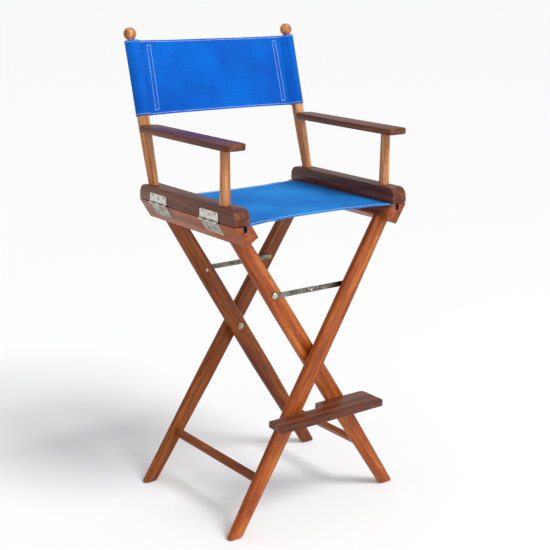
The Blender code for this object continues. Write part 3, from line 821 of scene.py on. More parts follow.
@dataclass(frozen=True)
class Layout:
    """Places and slopes that the sub-assemblies share, the same as in the solid model."""

    mid_y: float = -0.0179
    pivot_z: float = 0.3953
    lean: float = math.radians(32.5)
    splay: float = 0.032
    leg_thick: float = 0.0215
    leg_gap: float = 0.008
    inner_half: float = 0.151
    stay_d: float = 0.2012
    rail_top: float = 0.7545
    rail_y: Pair = (-0.2232, 0.1928)
    groove_x: float = 0.2266
    groove: Pair = (0.0046, 0.0140)  # half width and depth of the groove for the seat's hem
    post_x: float = 0.2378
    back_post_y: float = 0.1519
    back_lean: float = math.radians(15.86)
    back_z: float = 0.7975  # level that distances up the back posts are counted from

    def leg_point(self, side: Side, along: float, across: float) -> Pair:
        """X and Z of a point up a leg and across it, counted from the crossing bolt."""
        sin, cos = math.sin(self.lean), math.cos(self.lean)
        return (side.value * (along * sin - across * cos),
                self.pivot_z + along * cos + across * sin)

    def leg_y(self, side: Side, end: End, along: float) -> float:
        """Y of a leg's middle plane.

        Args:
            side: Leg frame that the leg belongs to.
            end: Front or rear leg.
            along: Distance up the leg from the crossing bolt.

        Returns:
            The plane's Y at that distance.
        """
        half = self.inner_half
        if side is Side.OUTER:
            half += self.leg_thick + self.leg_gap
        return self.mid_y + end.value * (half - self.splay * along)

    def leg_face(self, side: Side, end: End, along: float, facing: int) -> float:
        """Y of the face of a leg that looks towards facing, -1 front or 1 rear."""
        return self.leg_y(side, end, along) + facing * self.leg_thick / 2

    def leg_way(self, side: Side, end: End) -> Vector:
        """Direction up a leg."""
        return Vector((side.value * math.sin(self.lean), -end.value * self.splay,
                       math.cos(self.lean)))

    def back_point(self, x: float, up: float, forward: float) -> Vector:
        """A point near the leaning back posts, up the post and forward of its axis."""
        sin, cos = math.sin(self.back_lean), math.cos(self.back_lean)
        return Vector((x, self.back_post_y + up * sin - forward * cos,
                       self.back_z + up * cos + forward * sin))

    def back_way(self) -> Vector:
        """Direction up the back posts."""
        return self.back_point(0.0, 1.0, 0.0) - self.back_point(0.0, 0.0, 0.0)


PLAN = Layout()
PLACED: list[str] = []


def settle(piece: bpy.types.Object, body: str, slot: str, *nodes: str) -> None:
    """Hand a finished piece to its body and report how well it fits its solids.

    Args:
        piece: The piece.
        body: Body that it moves with.
        slot: Material slot of the piece; not used.
        *nodes: Solids that it stands for.
    """
    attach(piece, body)
    off = 0.0
    if nodes:
        boxes = [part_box(n) for n in nodes]
        low = [min(b[0][k] for b in boxes) for k in range(3)]
        high = [max(b[1][k] for b in boxes) for k in range(3)]
        corners = np.array([v.co for v in piece.data.vertices])
        off = max(np.abs(corners.min(0) - low).max(), np.abs(corners.max(0) - high).max())
        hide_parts(*nodes)
    log.info("%s rides %s, %d faces, %.1f mm off its solids", piece.name, body,
             len(piece.data.polygons), off * 1000)
    PLACED.append(piece.name)


# ---- leg frames ---------------------------------------------------------------------------


@dataclass
class LegFrame:
    """Front and rear leg, the seat rail on top of them and the stretcher low down."""

    side: Side
    widths: Sequence[Pair] = ((-0.4687, 0.0332), (-0.158, 0.046), (0.154, 0.046),
                              (0.382, 0.040))
    edge_round: float = 0.008
    rail_d: float = 0.3822
    rail_w: Pair = (-0.0222, 0.0172)
    rail_round: float = 0.0014
    stretcher: tuple[float, float, float] = (-0.3205, 0.022, 0.015)  # place up, width, thickness
    stretcher_gap: float = 0.0008

    def width(self, along: float) -> float:
        """Width of a leg at a distance up from the crossing bolt."""
        return float(np.interp(along, *zip(*self.widths)))

    def leg(self, end: End) -> None:
        """One leg: tapered both ways, long edges rounded, cut level at the floor.

        Args:
            end: Front or rear leg.
        """
        foot = -PLAN.pivot_z / math.cos(PLAN.lean)
        # Each ring's place up the leg, its inset, and 1 if it lies level or 0 if square.
        low = [(foot, 0.0045, 1.0), (foot + 0.0006, 0.0032, 1.0), (foot + 0.0018, 0.0018, 1.0),
               (foot + 0.004, 0.0006, 1.0), (foot + 0.008, 0.0, 1.0)]
        mid = [(a, 0.0, float(np.interp(a, (-0.30, 0.0), (1.0, 0.0))))
               for a in np.linspace(foot + 0.03, self.rail_d - 0.0003, 26)]
        rings = []
        for along, inset, level in low + mid:
            outline = rounded_box(self.width(along) / 2 - inset, PLAN.leg_thick / 2 - inset,
                                  self.edge_round - inset * 0.5)
            ring = []
            for across, off in outline:
                x, z = PLAN.leg_point(self.side, along - level * across
                                      * math.tan(PLAN.lean), across)
                ring.append((x, PLAN.leg_y(self.side, end, along) + off, max(z, 0.0)))
            rings.append(ring)
        name = f"{self.side.frame}_{end.word}_leg"
        # The rear legs take the darker copy of the stained teak, which is painted shade.
        finish = FRAME_WOOD if end is End.FRONT else SHADED_WOOD
        wood = finish.material(PLAN.leg_way(self.side, end), f"leg_{self.side.frame}")
        settle(loft(name + "_shaped", rings, wood, 50.0), self.side.body, "frame_wood", name)

    def rail(self) -> None:
        """Seat rail: five-sided bar with a level top, grooved for the seat's hem."""
        def flat_top(across: float) -> float:
            """Distance up the leg at which the rail's level top is met."""
            return ((PLAN.rail_top - PLAN.pivot_z - across * math.sin(PLAN.lean))
                    / math.cos(PLAN.lean))
        low_w, high_w = self.rail_w
        half, deep = PLAN.groove
        left = Side.INNER
        corners = [PLAN.leg_point(left, self.rail_d, low_w),
                   PLAN.leg_point(left, self.rail_d, high_w),
                   PLAN.leg_point(left, flat_top(high_w), high_w)]
        corners += [(-PLAN.groove_x + half, PLAN.rail_top),
                    (-PLAN.groove_x + half, PLAN.rail_top - deep),
                    (-PLAN.groove_x - half, PLAN.rail_top - deep),
                    (-PLAN.groove_x - half, PLAN.rail_top)]
        corners.append(PLAN.leg_point(left, flat_top(low_w), low_w))
        sign = -self.side.value
        # The rail takes the darker copy of the stained teak, which is painted shade.
        wood = SHADED_RAIL_WOOD.material((0, 1, 0), "rail")
        rail = prism(f"{self.side.frame}_seat_rail_shaped", corners, *PLAN.rail_y,
                     lambda a, b, h: (sign * a, h, b), wood, self.rail_round)
        settle(rail, self.side.body, "frame_wood", f"{self.side.frame}_seat_rail")

    def low_stretcher(self) -> None:
        """Flat bar with rounded edges between the front and the rear leg."""
        at, long, thick = self.stretcher
        front = PLAN.leg_face(self.side, End.FRONT, at, 1) + self.stretcher_gap
        rear = PLAN.leg_face(self.side, End.REAR, at, -1) - self.stretcher_gap
        rings = []
        for y in np.linspace(front, rear, 14):
            ring = []
            for along, across in rounded_box(long / 2, thick / 2, 0.0045):
                x, z = PLAN.leg_point(self.side, at + along, across)
                ring.append((x, y, z))
            rings.append(ring)
        name = f"{self.side.frame}_stretcher"
        # The stretcher takes the darker copy of the stained teak, which is painted shade.
        wood = SHADED_WOOD.material((0, 1, 0), "rail")
        settle(loft(name + "_shaped", rings, wood, 50.0), self.side.body, "frame_wood", name)

    def build(self) -> None:
        """Make both legs, the rail and the stretcher."""
        for end in End:
            self.leg(end)
        self.rail()
        self.low_stretcher()
        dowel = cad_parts[f"{self.side.frame}_seat_dowel"]
        # The dowel is near-black blue as painted shade, for the groove it lies in.
        dress(dowel, SHADED_ROD_WOOD.material((0, 1, 0), "dowel"))


def dress(node: bpy.types.Object, material: bpy.types.Material) -> None:
    """Give a carried-over solid its procedural material.

    Args:
        node: The solid.
        material: Its finish.
    """
    node.data.materials.clear()
    node.data.materials.append(material)
    log.info("%s dressed in %s", node.name, material.name)


# ---- arm frames ---------------------------------------------------------------------------


@dataclass
class ArmFrame:
    """Arm base, posts, ball finial and armrest of one side, with its hinges' screws."""

    side: Side
    base_x: Pair = (0.2135, 0.2555)
    base_z: Pair = (0.7560, 0.7935)
    base_y: Pair = (-0.2207, 0.1883)
    arm_x: Pair = (0.2095, 0.2675)
    arm_y: Pair = (-0.2062, 0.1808)
    arm_z: Pair = (0.9215, 0.9370)
    base_nose: float = 0.022  # radius of the base's ends, seen from the side
    base_rounds: Pair = (0.0052, 0.0012)  # radius of its upper and lower edges
    arm_corners: Pair = (0.022, 0.012)  # radius of the rear and front corners
    arm_round: float = 0.0035
    cope_r: float = 0.0153
    joint_gap: float = 0.0003
    front_post_y: float = -0.1587
    front_post_r: Pair = (0.0128, 0.0113)
    back_post_r: Sequence[Pair] = ((0.0, 0.0122), (0.070, 0.0140), (0.140, 0.0150),
                                   (0.3490, 0.0150))
    finial_t: float = 0.3665
    finial_r: float = 0.0158
    neck: Pair = (0.3500, 0.0078)  # where the finial starts up the post, and its neck's radius
    hinge_pin: Pair = (0.2590, 0.7555)
    hinge_y: Pair = (-0.1202, 0.1003)
    screw_reach: float = 0.0255  # from the middle screw of a leaf to the outer ones
    screw_size: Pair = (0.0034, 0.0011)  # radius and height of a head

    def base(self) -> None:
        """Bar with its upper edges well rounded, also over both ends."""
        bm = bmesh.new()
        s = self.side.value
        centre = (s * sum(self.base_x) / 2, sum(self.base_y) / 2, sum(self.base_z) / 2)
        size = (self.base_x[1] - self.base_x[0], self.base_y[1] - self.base_y[0],
                self.base_z[1] - self.base_z[0])
        bmesh.ops.create_cube(bm, size=1.0, matrix=Matrix.LocRotScale(centre, None, size))
        ends = [e for e in bm.edges if abs(e.verts[0].co.x - e.verts[1].co.x) > 0.01
                and e.verts[0].co.z > centre[2]]
        bmesh.ops.bevel(bm, geom=ends, offset=self.base_nose, segments=12, profile=0.5,
                        affect="EDGES")
        top = [e for e in bm.edges if e.calc_face_angle(0.0) > math.radians(60)
               and min(v.co.z for v in e.verts) > self.base_z[0] + 0.005]
        upper_round, lower_round = self.base_rounds
        bmesh.ops.bevel(bm, geom=top, offset=upper_round, segments=5, profile=0.5,
                        affect="EDGES", clamp_overlap=True)
        low = [e for e in bm.edges if all(v.co.z < self.base_z[0] + 1e-5 for v in e.verts)]
        bmesh.ops.bevel(bm, geom=low, offset=lower_round, segments=2, profile=0.5,
                        affect="EDGES")
        name = f"{self.side.hand}_arm_base"
        wood = ARM_WOOD.material((0, 1, 0), "bar")
        settle(to_object(name + "_shaped", bm, wood, 50.0), self.side.arm_body, "arm_wood",
               name)

    def armrest(self) -> None:
        """Flat arm with round corners and softened edges, hollowed round the back post."""
        (x0, x1), (y0, y1) = self.arm_x, self.arm_y
        half = (x1 - x0) / 2, (y1 - y0) / 2
        rear_r, front_r = self.arm_corners
        corners = rounded_box(*half, rear_r, 9)[:20] + rounded_box(*half, front_r, 6)[14:]
        outline = [((x0 + x1) / 2 + a, (y0 + y1) / 2 + b) for a, b in corners]
        s = self.side.value
        arm = prism(f"{self.side.hand}_armrest_shaped", outline, *self.arm_z,
                    lambda a, b, h: (s * a, b, h), ARM_WOOD.material((0, 1, 0), "bar"),
                    self.arm_round, 4)
        foot = PLAN.back_point(s * PLAN.post_x, 0.08, 0.0)
        way = PLAN.back_way()
        cutter = turned("cope", foot, way, ((0.0, self.cope_r), (0.12, self.cope_r)),
                        ARM_WOOD.material((0, 1, 0), "bar"))
        change = arm.modifiers.new("cope", "BOOLEAN")
        change.operation, change.solver, change.object = "DIFFERENCE", "EXACT", cutter
        graph = bpy.context.evaluated_depsgraph_get()
        mesh = bpy.data.meshes.new_from_object(arm.evaluated_get(graph))
        arm.modifiers.clear()
        arm.data = mesh
        mesh.set_sharp_from_angle(angle=math.radians(38))
        bpy.data.objects.remove(cutter)
        settle(arm, self.side.arm_body, "arm_wood", f"{self.side.hand}_armrest")

    def posts(self) -> None:
        """Round front post, and round back post that leans and thins to its foot."""
        s, word = self.side.value, self.side.hand
        tall = self.arm_z[0] - self.base_z[1] - 2 * self.joint_gap
        r0, r1 = self.front_post_r
        profile = [(0.0, r0 - 0.0006), (0.0006, r0)]
        profile += [(tall * k / 10, r0 + (r1 - r0) * k / 10) for k in range(1, 11)]
        post = turned(f"{word}_front_post_shaped", (s * PLAN.post_x, self.front_post_y,
                                                    self.base_z[1] + self.joint_gap),
                      (0, 0, 1),
                      profile, POST_WOOD.material((0, 0, 1), "upright"))
        settle(post, self.side.arm_body, "post_wood", f"{word}_front_post")
        way = PLAN.back_way()
        rings = []
        for up in np.linspace(0.0, self.back_post_r[-1][0], 30):
            radius = float(np.interp(up, *zip(*self.back_post_r)))
            ring = []
            for k in range(40):
                a = 2 * math.pi * k / 40
                point = PLAN.back_point(s * PLAN.post_x + radius * math.cos(a), float(up),
                                        radius * math.sin(a))
                if up == 0.0:  # the foot stands level on the arm base
                    point += way * ((self.base_z[1] + self.joint_gap - point.z) / way.z)
                ring.append(point)
            rings.append(ring)
        post = loft(f"{word}_back_post_shaped", rings, POST_WOOD.material(way, "leaning"),
                    50.0)
        settle(post, self.side.arm_body, "post_wood", f"{word}_back_post")

    def finial(self) -> None:
        """Turned ball on a short neck, with a small bead under it."""
        s = self.side.value
        low, neck_r = self.neck
        reach = self.finial_t - low
        below = math.sqrt(self.finial_r ** 2 - neck_r ** 2)
        profile = [(0.0, 0.0085), (0.0012, 0.0088), (0.0020, 0.0080),
                   (reach - below, neck_r)]
        start = math.acos(below / self.finial_r)
        for k in range(25):
            a = start + (math.pi - start) * k / 24
            profile.append((reach - self.finial_r * math.cos(a),
                            max(self.finial_r * math.sin(a), 0.0002)))
        base = PLAN.back_point(s * PLAN.post_x, low, 0.0)
        way = PLAN.back_way()
        ball = turned(f"{self.side.hand}_finial_shaped", base, way, profile,
                      POST_WOOD.material(way, "leaning"))
        settle(ball, self.side.arm_body, "post_wood", f"{self.side.hand}_finial")

    def screws(self) -> None:
        """Countersunk screws in the hinge leaves, three in each."""
        s = self.side.value
        sin, cos = math.sin(PLAN.lean), math.cos(PLAN.lean)
        # Each leaf's way up, the way it faces, how far out its face lies, how far up its screws
        # sit, how far they step up and down from there, and its body.
        leaves = (("upper", Vector((0, 0, 1)), Vector((s, 0, 0)), -0.0020, 0.0150, 0.0045,
                   self.side.arm_body),
                  ("lower", Vector((-s * sin, 0, -cos)), Vector((s * cos, 0, -sin)),
                   -0.00125, 0.0235, 0.0075, self.side.body))
        reach, (head_r, head_high) = self.screw_reach, self.screw_size
        for title, along, out, face, up, step, body in leaves:
            points, facing = [], []
            for y in self.hinge_y:
                pin = Vector((s * self.hinge_pin[0], y, self.hinge_pin[1]))
                for across, lift in ((-reach, -step), (0.0, step * 0.4), (reach, -step)):
                    points.append(pin + Vector((0, across, 0)) + along * (up - lift)
                                  + out * (face - 0.0005))
                    facing.append(out)
            made = grow(f"{self.side.hand}_{title}_hinge_screws", points, [], screw_tree(), {
                "Radius": head_r, "Height": head_high, "Material": BOLT_STEEL.material()},
                facing)
            settle(made, body, "bolt_steel")

    def build(self) -> None:
        """Make the arm frame and dress its hinge leaves and pins."""
        self.base()
        self.armrest()
        self.posts()
        self.finial()
        self.screws()
        for end in End:
            for node in (f"{self.side.hand}_{end.word}_upper_leaf",
                         f"{self.side.hand}_{end.word}_hinge_pin"):
                dress(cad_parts[node], HINGE_STEEL.material())
            # The lower leaves take the darker steel, which is partly real scuffs and partly
            # painted shade.
            dress(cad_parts[f"{self.side.frame}_{end.word}_lower_leaf"],
                  SCUFFED_SHADED_STEEL.material())


# ---- bolts and stays ----------------------------------------------------------------------


@dataclass
class Fittings:
    """Crossing bolts with cap nuts and spacers, stay links and their bolts."""

    stay_r: float = 0.0025
    spacer_r: float = 0.0110
    soften: float = 0.0005  # how far the spacer's ends are eased
    rivets: Sequence[tuple[str, float, float, float]] = (
        ("middle", 0.0, -0.0015, 0.0036), ("left", -0.0095, 0.0036, 0.0024),
        ("right", 0.0170, 0.0036, 0.0024))  # name, X, place above the stay bolt, radius

    def pivot(self, end: End) -> None:
        """Shank, domed cap nut on its washer, and spacer between the two legs.

        Args:
            end: Front or rear crossing.
        """
        e = end.value
        nut_face = PLAN.leg_face(Side.INNER, end, 0.0, -e)
        inner_out = PLAN.leg_face(Side.INNER, end, 0.0, e)
        steel = BOLT_STEEL.material()
        profile = [(0.0, 0.0080), (0.0003, 0.0085), (0.0010, 0.0085), (0.0013, 0.0080),
                   (0.0014, 0.0058), (0.0042, 0.0058)]
        profile += [(0.0042 + 0.0036 * math.sin(a), max(0.0056 * math.cos(a), 0.0004))
                    for a in (math.pi / 2 * k / 7 for k in range(8))]
        nut = turned(f"{end.word}_pivot_cap_nut", (0.0, nut_face - e * 0.0010, PLAN.pivot_z),
                     (0, -e, 0), profile, steel)
        settle(nut, "inner_frame", "bolt_steel", f"{end.word}_pivot_nut")
        slack = 0.0003 + self.spacer_r * PLAN.splay  # the legs' faces aren't parallel to it
        wide = PLAN.leg_gap - 2 * slack
        ring = turned(f"{end.word}_pivot_spacer_turned",
                      (0.0, inner_out + e * slack, PLAN.pivot_z), (0, e, 0),
                      ((0.0, 0.0104), (self.soften, self.spacer_r),
                       (wide - self.soften, self.spacer_r), (wide, 0.0104)), steel)
        settle(ring, "inner_frame", "bolt_steel", f"{end.word}_pivot_spacer")
        dress(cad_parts[f"{end.word}_pivot_bolt"], steel)

    def stay_bolts(self, end: End) -> None:
        """Domed bolt of the inner frame, finish of the outer frame's, and the stay's rivets.

        Args:
            end: Front or rear stay.
        """
        e = end.value
        x, z = PLAN.leg_point(Side.INNER, PLAN.stay_d, 0.0)
        base = PLAN.leg_face(Side.INNER, end, PLAN.stay_d, e)
        head = base + e * 0.0023
        reach = PLAN.leg_thick + 0.0023 + 0.0003
        profile = [(0.0, 0.0030), (0.0003, 0.0052), (0.0008, 0.0070), (0.0014, 0.0080),
                   (0.0018, 0.0082), (0.00181, self.stay_r), (0.0018 + reach, self.stay_r),
                   (0.00181 + reach, 0.0042), (0.0028 + reach, 0.0042),
                   (0.0032 + reach, 0.0034)]
        steel = BOLT_STEEL.material()
        bolt = turned(f"{end.word}_left_stay_bolt_turned", (x, head + e * 0.0018, z),
                      (0, -e, 0), profile, steel)
        settle(bolt, "inner_frame", "bolt_steel", f"{end.word}_stay_left_bolt")
        dress(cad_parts[f"{end.word}_stay_right_bolt"], BRASS.material())
        base += e * 0.0036  # outer face of the right link
        for word, x, up, r in self.rivets:
            dome = turned(f"{end.word}_{word}_stay_rivet", (x, base, z + up), (0, e, 0),
                          ((0.0, r), (0.0008, r), (0.0013, r * 0.7), (0.0015, r * 0.3)),
                          steel, 16)
            settle(dome, f"{end.word}_right_stay", "bolt_steel")
        for word in ("left", "right"):
            dress(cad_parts[f"{end.word}_stay_{word}"], STAY_STEEL.material())

    def build(self) -> None:
        """Make the fittings of both ends."""
        for end in End:
            self.pivot(end)
            self.stay_bolts(end)


# ---- canvas -------------------------------------------------------------------------------


@dataclass
class SeatCanvas:
    """Taut canvas seat, hemmed at its free edges, its ends wrapped round dowels."""

    thick: float = 0.0008
    hem: float = 0.014
    hem_thick: float = 0.0009
    y: Pair = (-0.2212, 0.1768)
    hollow: Pair = (0.033, 0.006)
    sag: float = 0.0025
    free: float = 0.2070  # half the width between the rails' clamped strips
    edge_rows: Sequence[float] = (0.004, 0.008, 0.0125, 0.0145)  # extra rows near an edge
    bound: Pair = (0.215, 0.0008)  # the painted shade in the groove starts this far out and this far down
    sewn: float = 0.0105  # the stitching runs this far in from the edge
    sewn_half: Pair = (0.2055, 0.2115)  # half the length of a row under and over the cloth

    def path(self) -> list[Pair]:
        """Middle line of the cloth across the chair, from groove to groove.

        Returns:
            X and Z of its points, from left to right.
        """
        groove_half, groove_deep = PLAN.groove
        low = PLAN.rail_top - groove_deep + groove_half
        level, ring, bend = PLAN.rail_top + 0.00075, 0.0037, 0.0017
        g = PLAN.groove_x
        half: list[Pair] = [(-g - ring, low + 0.0065), (-g - ring, low + 0.003)]
        half += [(-g - ring * math.cos(a), low - ring * math.sin(a))
                 for a in (math.pi * k / 10 for k in range(11))]
        turn = (-g + ring + bend, level - bend)
        half += [(turn[0] - bend * math.cos(a), turn[1] + bend * math.sin(a))
                 for a in (math.pi * k / 10 for k in range(6))]
        half += [(x, level) for x in (-0.2180, -0.2140, -0.2100)]
        for k in range(31):
            x = -self.free * (1 - k / 30)
            half.append((x, level - self.sag * (1 - (x / self.free) ** 2)))
        return half + [(-x, z) for x, z in half[-2::-1]]

    def ends(self, x: float) -> Pair:
        """Front and rear edge of the cloth at a place across."""
        drawn = max(0.0, 1 - (x / self.free) ** 2)
        return self.y[0] + self.hollow[0] * drawn, self.y[1] - self.hollow[1] * drawn

    def pulls(self, x: np.ndarray, y: np.ndarray) -> np.ndarray:
        """Height of the shallow tension folds that run in from the clamped corners.

        Args:
            x: Places across the chair.
            y: Places front to rear.

        Returns:
            How much higher the cloth is at each place.
        """
        quiet = smooth((self.free - 0.004 - np.abs(x)) / 0.05)
        mid = PLAN.mid_y
        reach = np.exp(-((np.abs(x) - 0.15) / 0.06) ** 2)
        fans = np.sin(np.abs(y - mid) * 95 + np.abs(x) * 55) * reach * 0.0007
        waves = np.sin(x * 31 + 1.3) * np.sin(y * 17 + 0.4) * 0.0008
        return (fans + waves) * quiet

    def sew(self, path: np.ndarray, grid: np.ndarray) -> bpy.types.Object:
        """Stitch the hems at both free edges, over and under the cloth.

        Args:
            path: Middle line of the cloth across the chair.
            grid: Points of the cloth, a row for each point of the path.

        Returns:
            The stitches as one mesh.
        """
        under_half, over_half = self.sewn_half
        rows = []
        open_rows = [i for i, (x, z) in enumerate(path)
                     if abs(x) <= over_half and z > PLAN.rail_top - 0.004]
        for front in (True, False):
            for face in (1, -1):
                run = []
                for i in open_rows:
                    x = path[i, 0]
                    low, high = self.ends(x)
                    y = low + self.sewn if front else high - self.sewn
                    z = float(np.interp(y, grid[i, :, 1], grid[i, :, 2]))
                    run.append((x, y, z + face * (self.thick / 2 + 0.0007)))
                rows.append([p for p in run if abs(p[0]) < under_half or face > 0])
        return stitches("seat_hem_stitches", rows)

    def build(self) -> None:
        """Make the cloth with its hems and sew it."""
        path = np.array(self.path())
        extra = np.array(self.edge_rows) / (self.y[1] - self.y[0])
        share = np.unique(np.concatenate([np.linspace(0, 1, 61), extra, 1 - extra]))
        grid = np.zeros((len(path), len(share), 3))
        thick = np.zeros(grid.shape[:2])
        for i, (x, z) in enumerate(path):
            low, high = self.ends(x)
            ys = low + (high - low) * share
            grid[i, :, 0], grid[i, :, 1], grid[i, :, 2] = x, ys, z
            edge = np.minimum(ys - low, high - ys)
            hem = 1 - smooth((edge - self.hem + 0.002) / 0.002)
            open_cloth = smooth((self.free + 0.002 - abs(x)) / 0.006)
            blunt = smooth(edge / 0.0015 + 0.35)
            thick[i] = self.thick + self.hem_thick * hem * open_cloth * blunt
        grid[..., 2] += self.pulls(grid[..., 0], grid[..., 1])
        # The seat takes the lighter copy of the blue duck, which is painted light.
        seat = cloth("seat_cloth", grid, thick, LIT_SEAT_DUCK)
        # The faces down in the grooves take the dark navy canvas, which is painted shade.
        seat.data.materials.append(GROOVE_SHADE_CANVAS.material())
        groove_shade_x, groove_shade_z = self.bound
        for face in seat.data.polygons:  # the hem down in the groove is drawn in dark navy as painted shade
            face.material_index = int(face.center.z < PLAN.rail_top - groove_shade_z
                                      and abs(face.center.x) > groove_shade_x)
        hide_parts("seat_canvas")
        sewn = self.sew(path, grid)
        for piece in (seat, sewn):
            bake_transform(piece)
            PLACED.append(piece.name)
        log.info("seat cloth of %d faces, %d stitch faces", len(seat.data.polygons),
                 len(sewn.data.polygons))


@dataclass
class BackCanvas:
    """One strip of canvas sewn into a sleeve round each back post."""

    thick: float = 0.0009
    t: Pair = (0.1650, 0.3497)
    post_gap_r: float = 0.0159
    tip: float = 0.0262
    half: float = 0.2114  # half the width of the open panel
    rise_half: float = 0.2116
    bow_half: float = 0.2113
    sewn_half: float = 0.2108  # half the length of a row of stitches along a hem
    seam: float = 0.1930
    seam_lean: float = 0.0018
    seam_pair: float = 0.0050  # from a seam's middle to each of its two rows
    rise: Pair = (0.002, 0.0005)
    hem: float = 0.0072
    sewn: float = 0.0040  # the stitching runs this far in from the edge

    def edges(self, x: float) -> Pair:
        """Lower and upper edge of the cloth at a place across, up the posts."""
        mid = max(0.0, 1 - (x / self.rise_half) ** 2)
        return self.t[0] + self.rise[0] * mid, self.t[1] - self.rise[1] * mid

    def bow(self, x: np.ndarray, up: np.ndarray) -> np.ndarray:
        """How far the open cloth stands forward of the posts' plane.

        Args:
            x: Places across the chair.
            up: Places up the posts.

        Returns:
            The distance forward at each place.
        """
        half = self.bow_half
        quiet = smooth((half - np.abs(x)) / 0.05)
        mid = (up - sum(self.t) / 2) / 0.09
        belly = -0.0020 * (1 - (x / half) ** 2)
        folds = 0.0016 * np.sin(x * 26 + mid * 1.6 + 0.5) * np.exp(-(mid * 0.9) ** 2)
        droop = 0.0011 * np.sin((x + up) * 48) * np.exp(-((np.abs(x) - 0.16) / 0.04) ** 2)
        return (belly + (folds + droop) * quiet) * smooth((half - np.abs(x)) / 0.02)

    def rows_up(self, low: float, high: float) -> np.ndarray:
        """Places up the cloth, closer together at the hems.

        Args:
            low: Its lower edge.
            high: Its upper edge.

        Returns:
            The places, from low to high.
        """
        near = np.array([0.0, 0.0008, 0.002, 0.0045, 0.0065, 0.0075, 0.0095])
        return np.concatenate([low + near, np.linspace(low + 0.014, high - 0.014, 26),
                               high - near[::-1]])

    def hem_thick(self, up: np.ndarray, low: float, high: float) -> np.ndarray:
        """Extra thickness of the folded hem at the upper and lower edge.

        Args:
            up: Places up the cloth.
            low: Its lower edge.
            high: Its upper edge.

        Returns:
            The extra thickness at each place.
        """
        edge = np.minimum(up - low, high - up)
        return 0.0008 * (1 - smooth((edge - self.hem + 0.0015) / 0.0015)) \
            * smooth(edge / 0.0012 + 0.3)

    def sleeve_ring(self, side: Side) -> list[Pair]:
        """Section of the sleeve, closed to a point inwards.

        Args:
            side: The post that it goes round.

        Returns:
            X and distance forward of its points.
        """
        radius = self.post_gap_r
        touch = math.acos(radius / self.tip)
        way = -side.value
        ring = [(self.tip, 0.0)]
        start = (radius * math.cos(touch), -radius * math.sin(touch))
        ring += [(self.tip + (start[0] - self.tip) * k / 5, start[1] * k / 5)
                 for k in range(1, 5)]
        for k in range(29):
            a = -touch - (2 * math.pi - 2 * touch) * k / 28
            ring.append((radius * math.cos(a), radius * math.sin(a)))
        end = ring[-1]
        ring += [(end[0] + (self.tip - end[0]) * k / 5, end[1] * (1 - k / 5))
                 for k in range(1, 5)]
        return [(side.value * PLAN.post_x + way * a, b) for a, b in ring]

    def sleeve(self, side: Side) -> None:
        """The tube of cloth round one back post, with its hem stitching.

        Args:
            side: The post that it goes round.
        """
        post_x = side.value * PLAN.post_x
        ring = self.sleeve_ring(side)
        ups = self.rows_up(*self.t)
        grid = np.array([[PLAN.back_point(x, float(u), off) for u in ups] for x, off in ring])
        if side is Side.OUTER:
            grid = grid[::-1]
        thick = np.tile(self.thick + self.hem_thick(ups, *self.t), (len(ring), 1))
        word = side.hand
        made = cloth(f"{word}_sleeve_cloth", grid, thick, DUCK, wrap=True)
        runs = []
        for up in (self.t[0] + self.sewn, self.t[1] - self.sewn):
            for front in (True, False):
                part = [(x, off) for x, off in ring if (off > 0.001) == front
                        and abs(off) > 0.001]
                part.sort()
                run = []
                for x, off in part:
                    away = math.hypot(x - post_x, off)
                    grow_by = 1 + (self.thick / 2 + 0.0005) / max(away, 0.01)
                    run.append(PLAN.back_point(post_x + (x - post_x) * grow_by, up,
                                               off * grow_by))
                runs.append(run)
        sewn = stitches(f"{word}_sleeve_stitches", runs)
        settle(made, side.arm_body, "canvas_blue", f"{word}_back_sleeve")
        settle(sewn, side.arm_body, "canvas_blue")

    def seams(self) -> list[list[Vector]]:
        """Rows of stitches on both faces: one along each hem and a loop at each sleeve.

        Returns:
            The points of each row.
        """
        runs = []
        for face in (1, -1):
            def on(x: float, up: float, lift: float = 0.0) -> Vector:
                """A point on this face of the cloth, at a place across and up."""
                rise = float(self.bow(np.array(x), np.array(up)))
                extra = 0.0009 if abs(x) > self.seam - 0.0065 else 0.0
                return PLAN.back_point(x, up, rise + face * (
                    (self.thick + extra) / 2 + 0.0004 + lift))
            for top, inwards in ((1, -self.sewn), (0, self.sewn)):
                runs.append([on(float(x), self.edges(float(x))[top] + inwards, 0.0003)
                             for x in np.linspace(-self.sewn_half, self.sewn_half, 90)])
            for s in (-1, 1):
                low, high = self.edges(self.seam)
                lows_x, highs_x = (s * (self.seam + lean)
                                   for lean in (self.seam_lean, -self.seam_lean))
                middle = []
                for k in range(31):
                    up = low + 0.0125 + (high - low - 0.025) * k / 30
                    middle.append((lows_x + (highs_x - lows_x) * k / 30, up))
                left = [(x - self.seam_pair, up) for x, up in middle]
                right = [(x + self.seam_pair, up) for x, up in middle]
                loop = left + right[::-1] + left[:1]
                runs.append([on(x, up) for x, up in loop])
        return runs

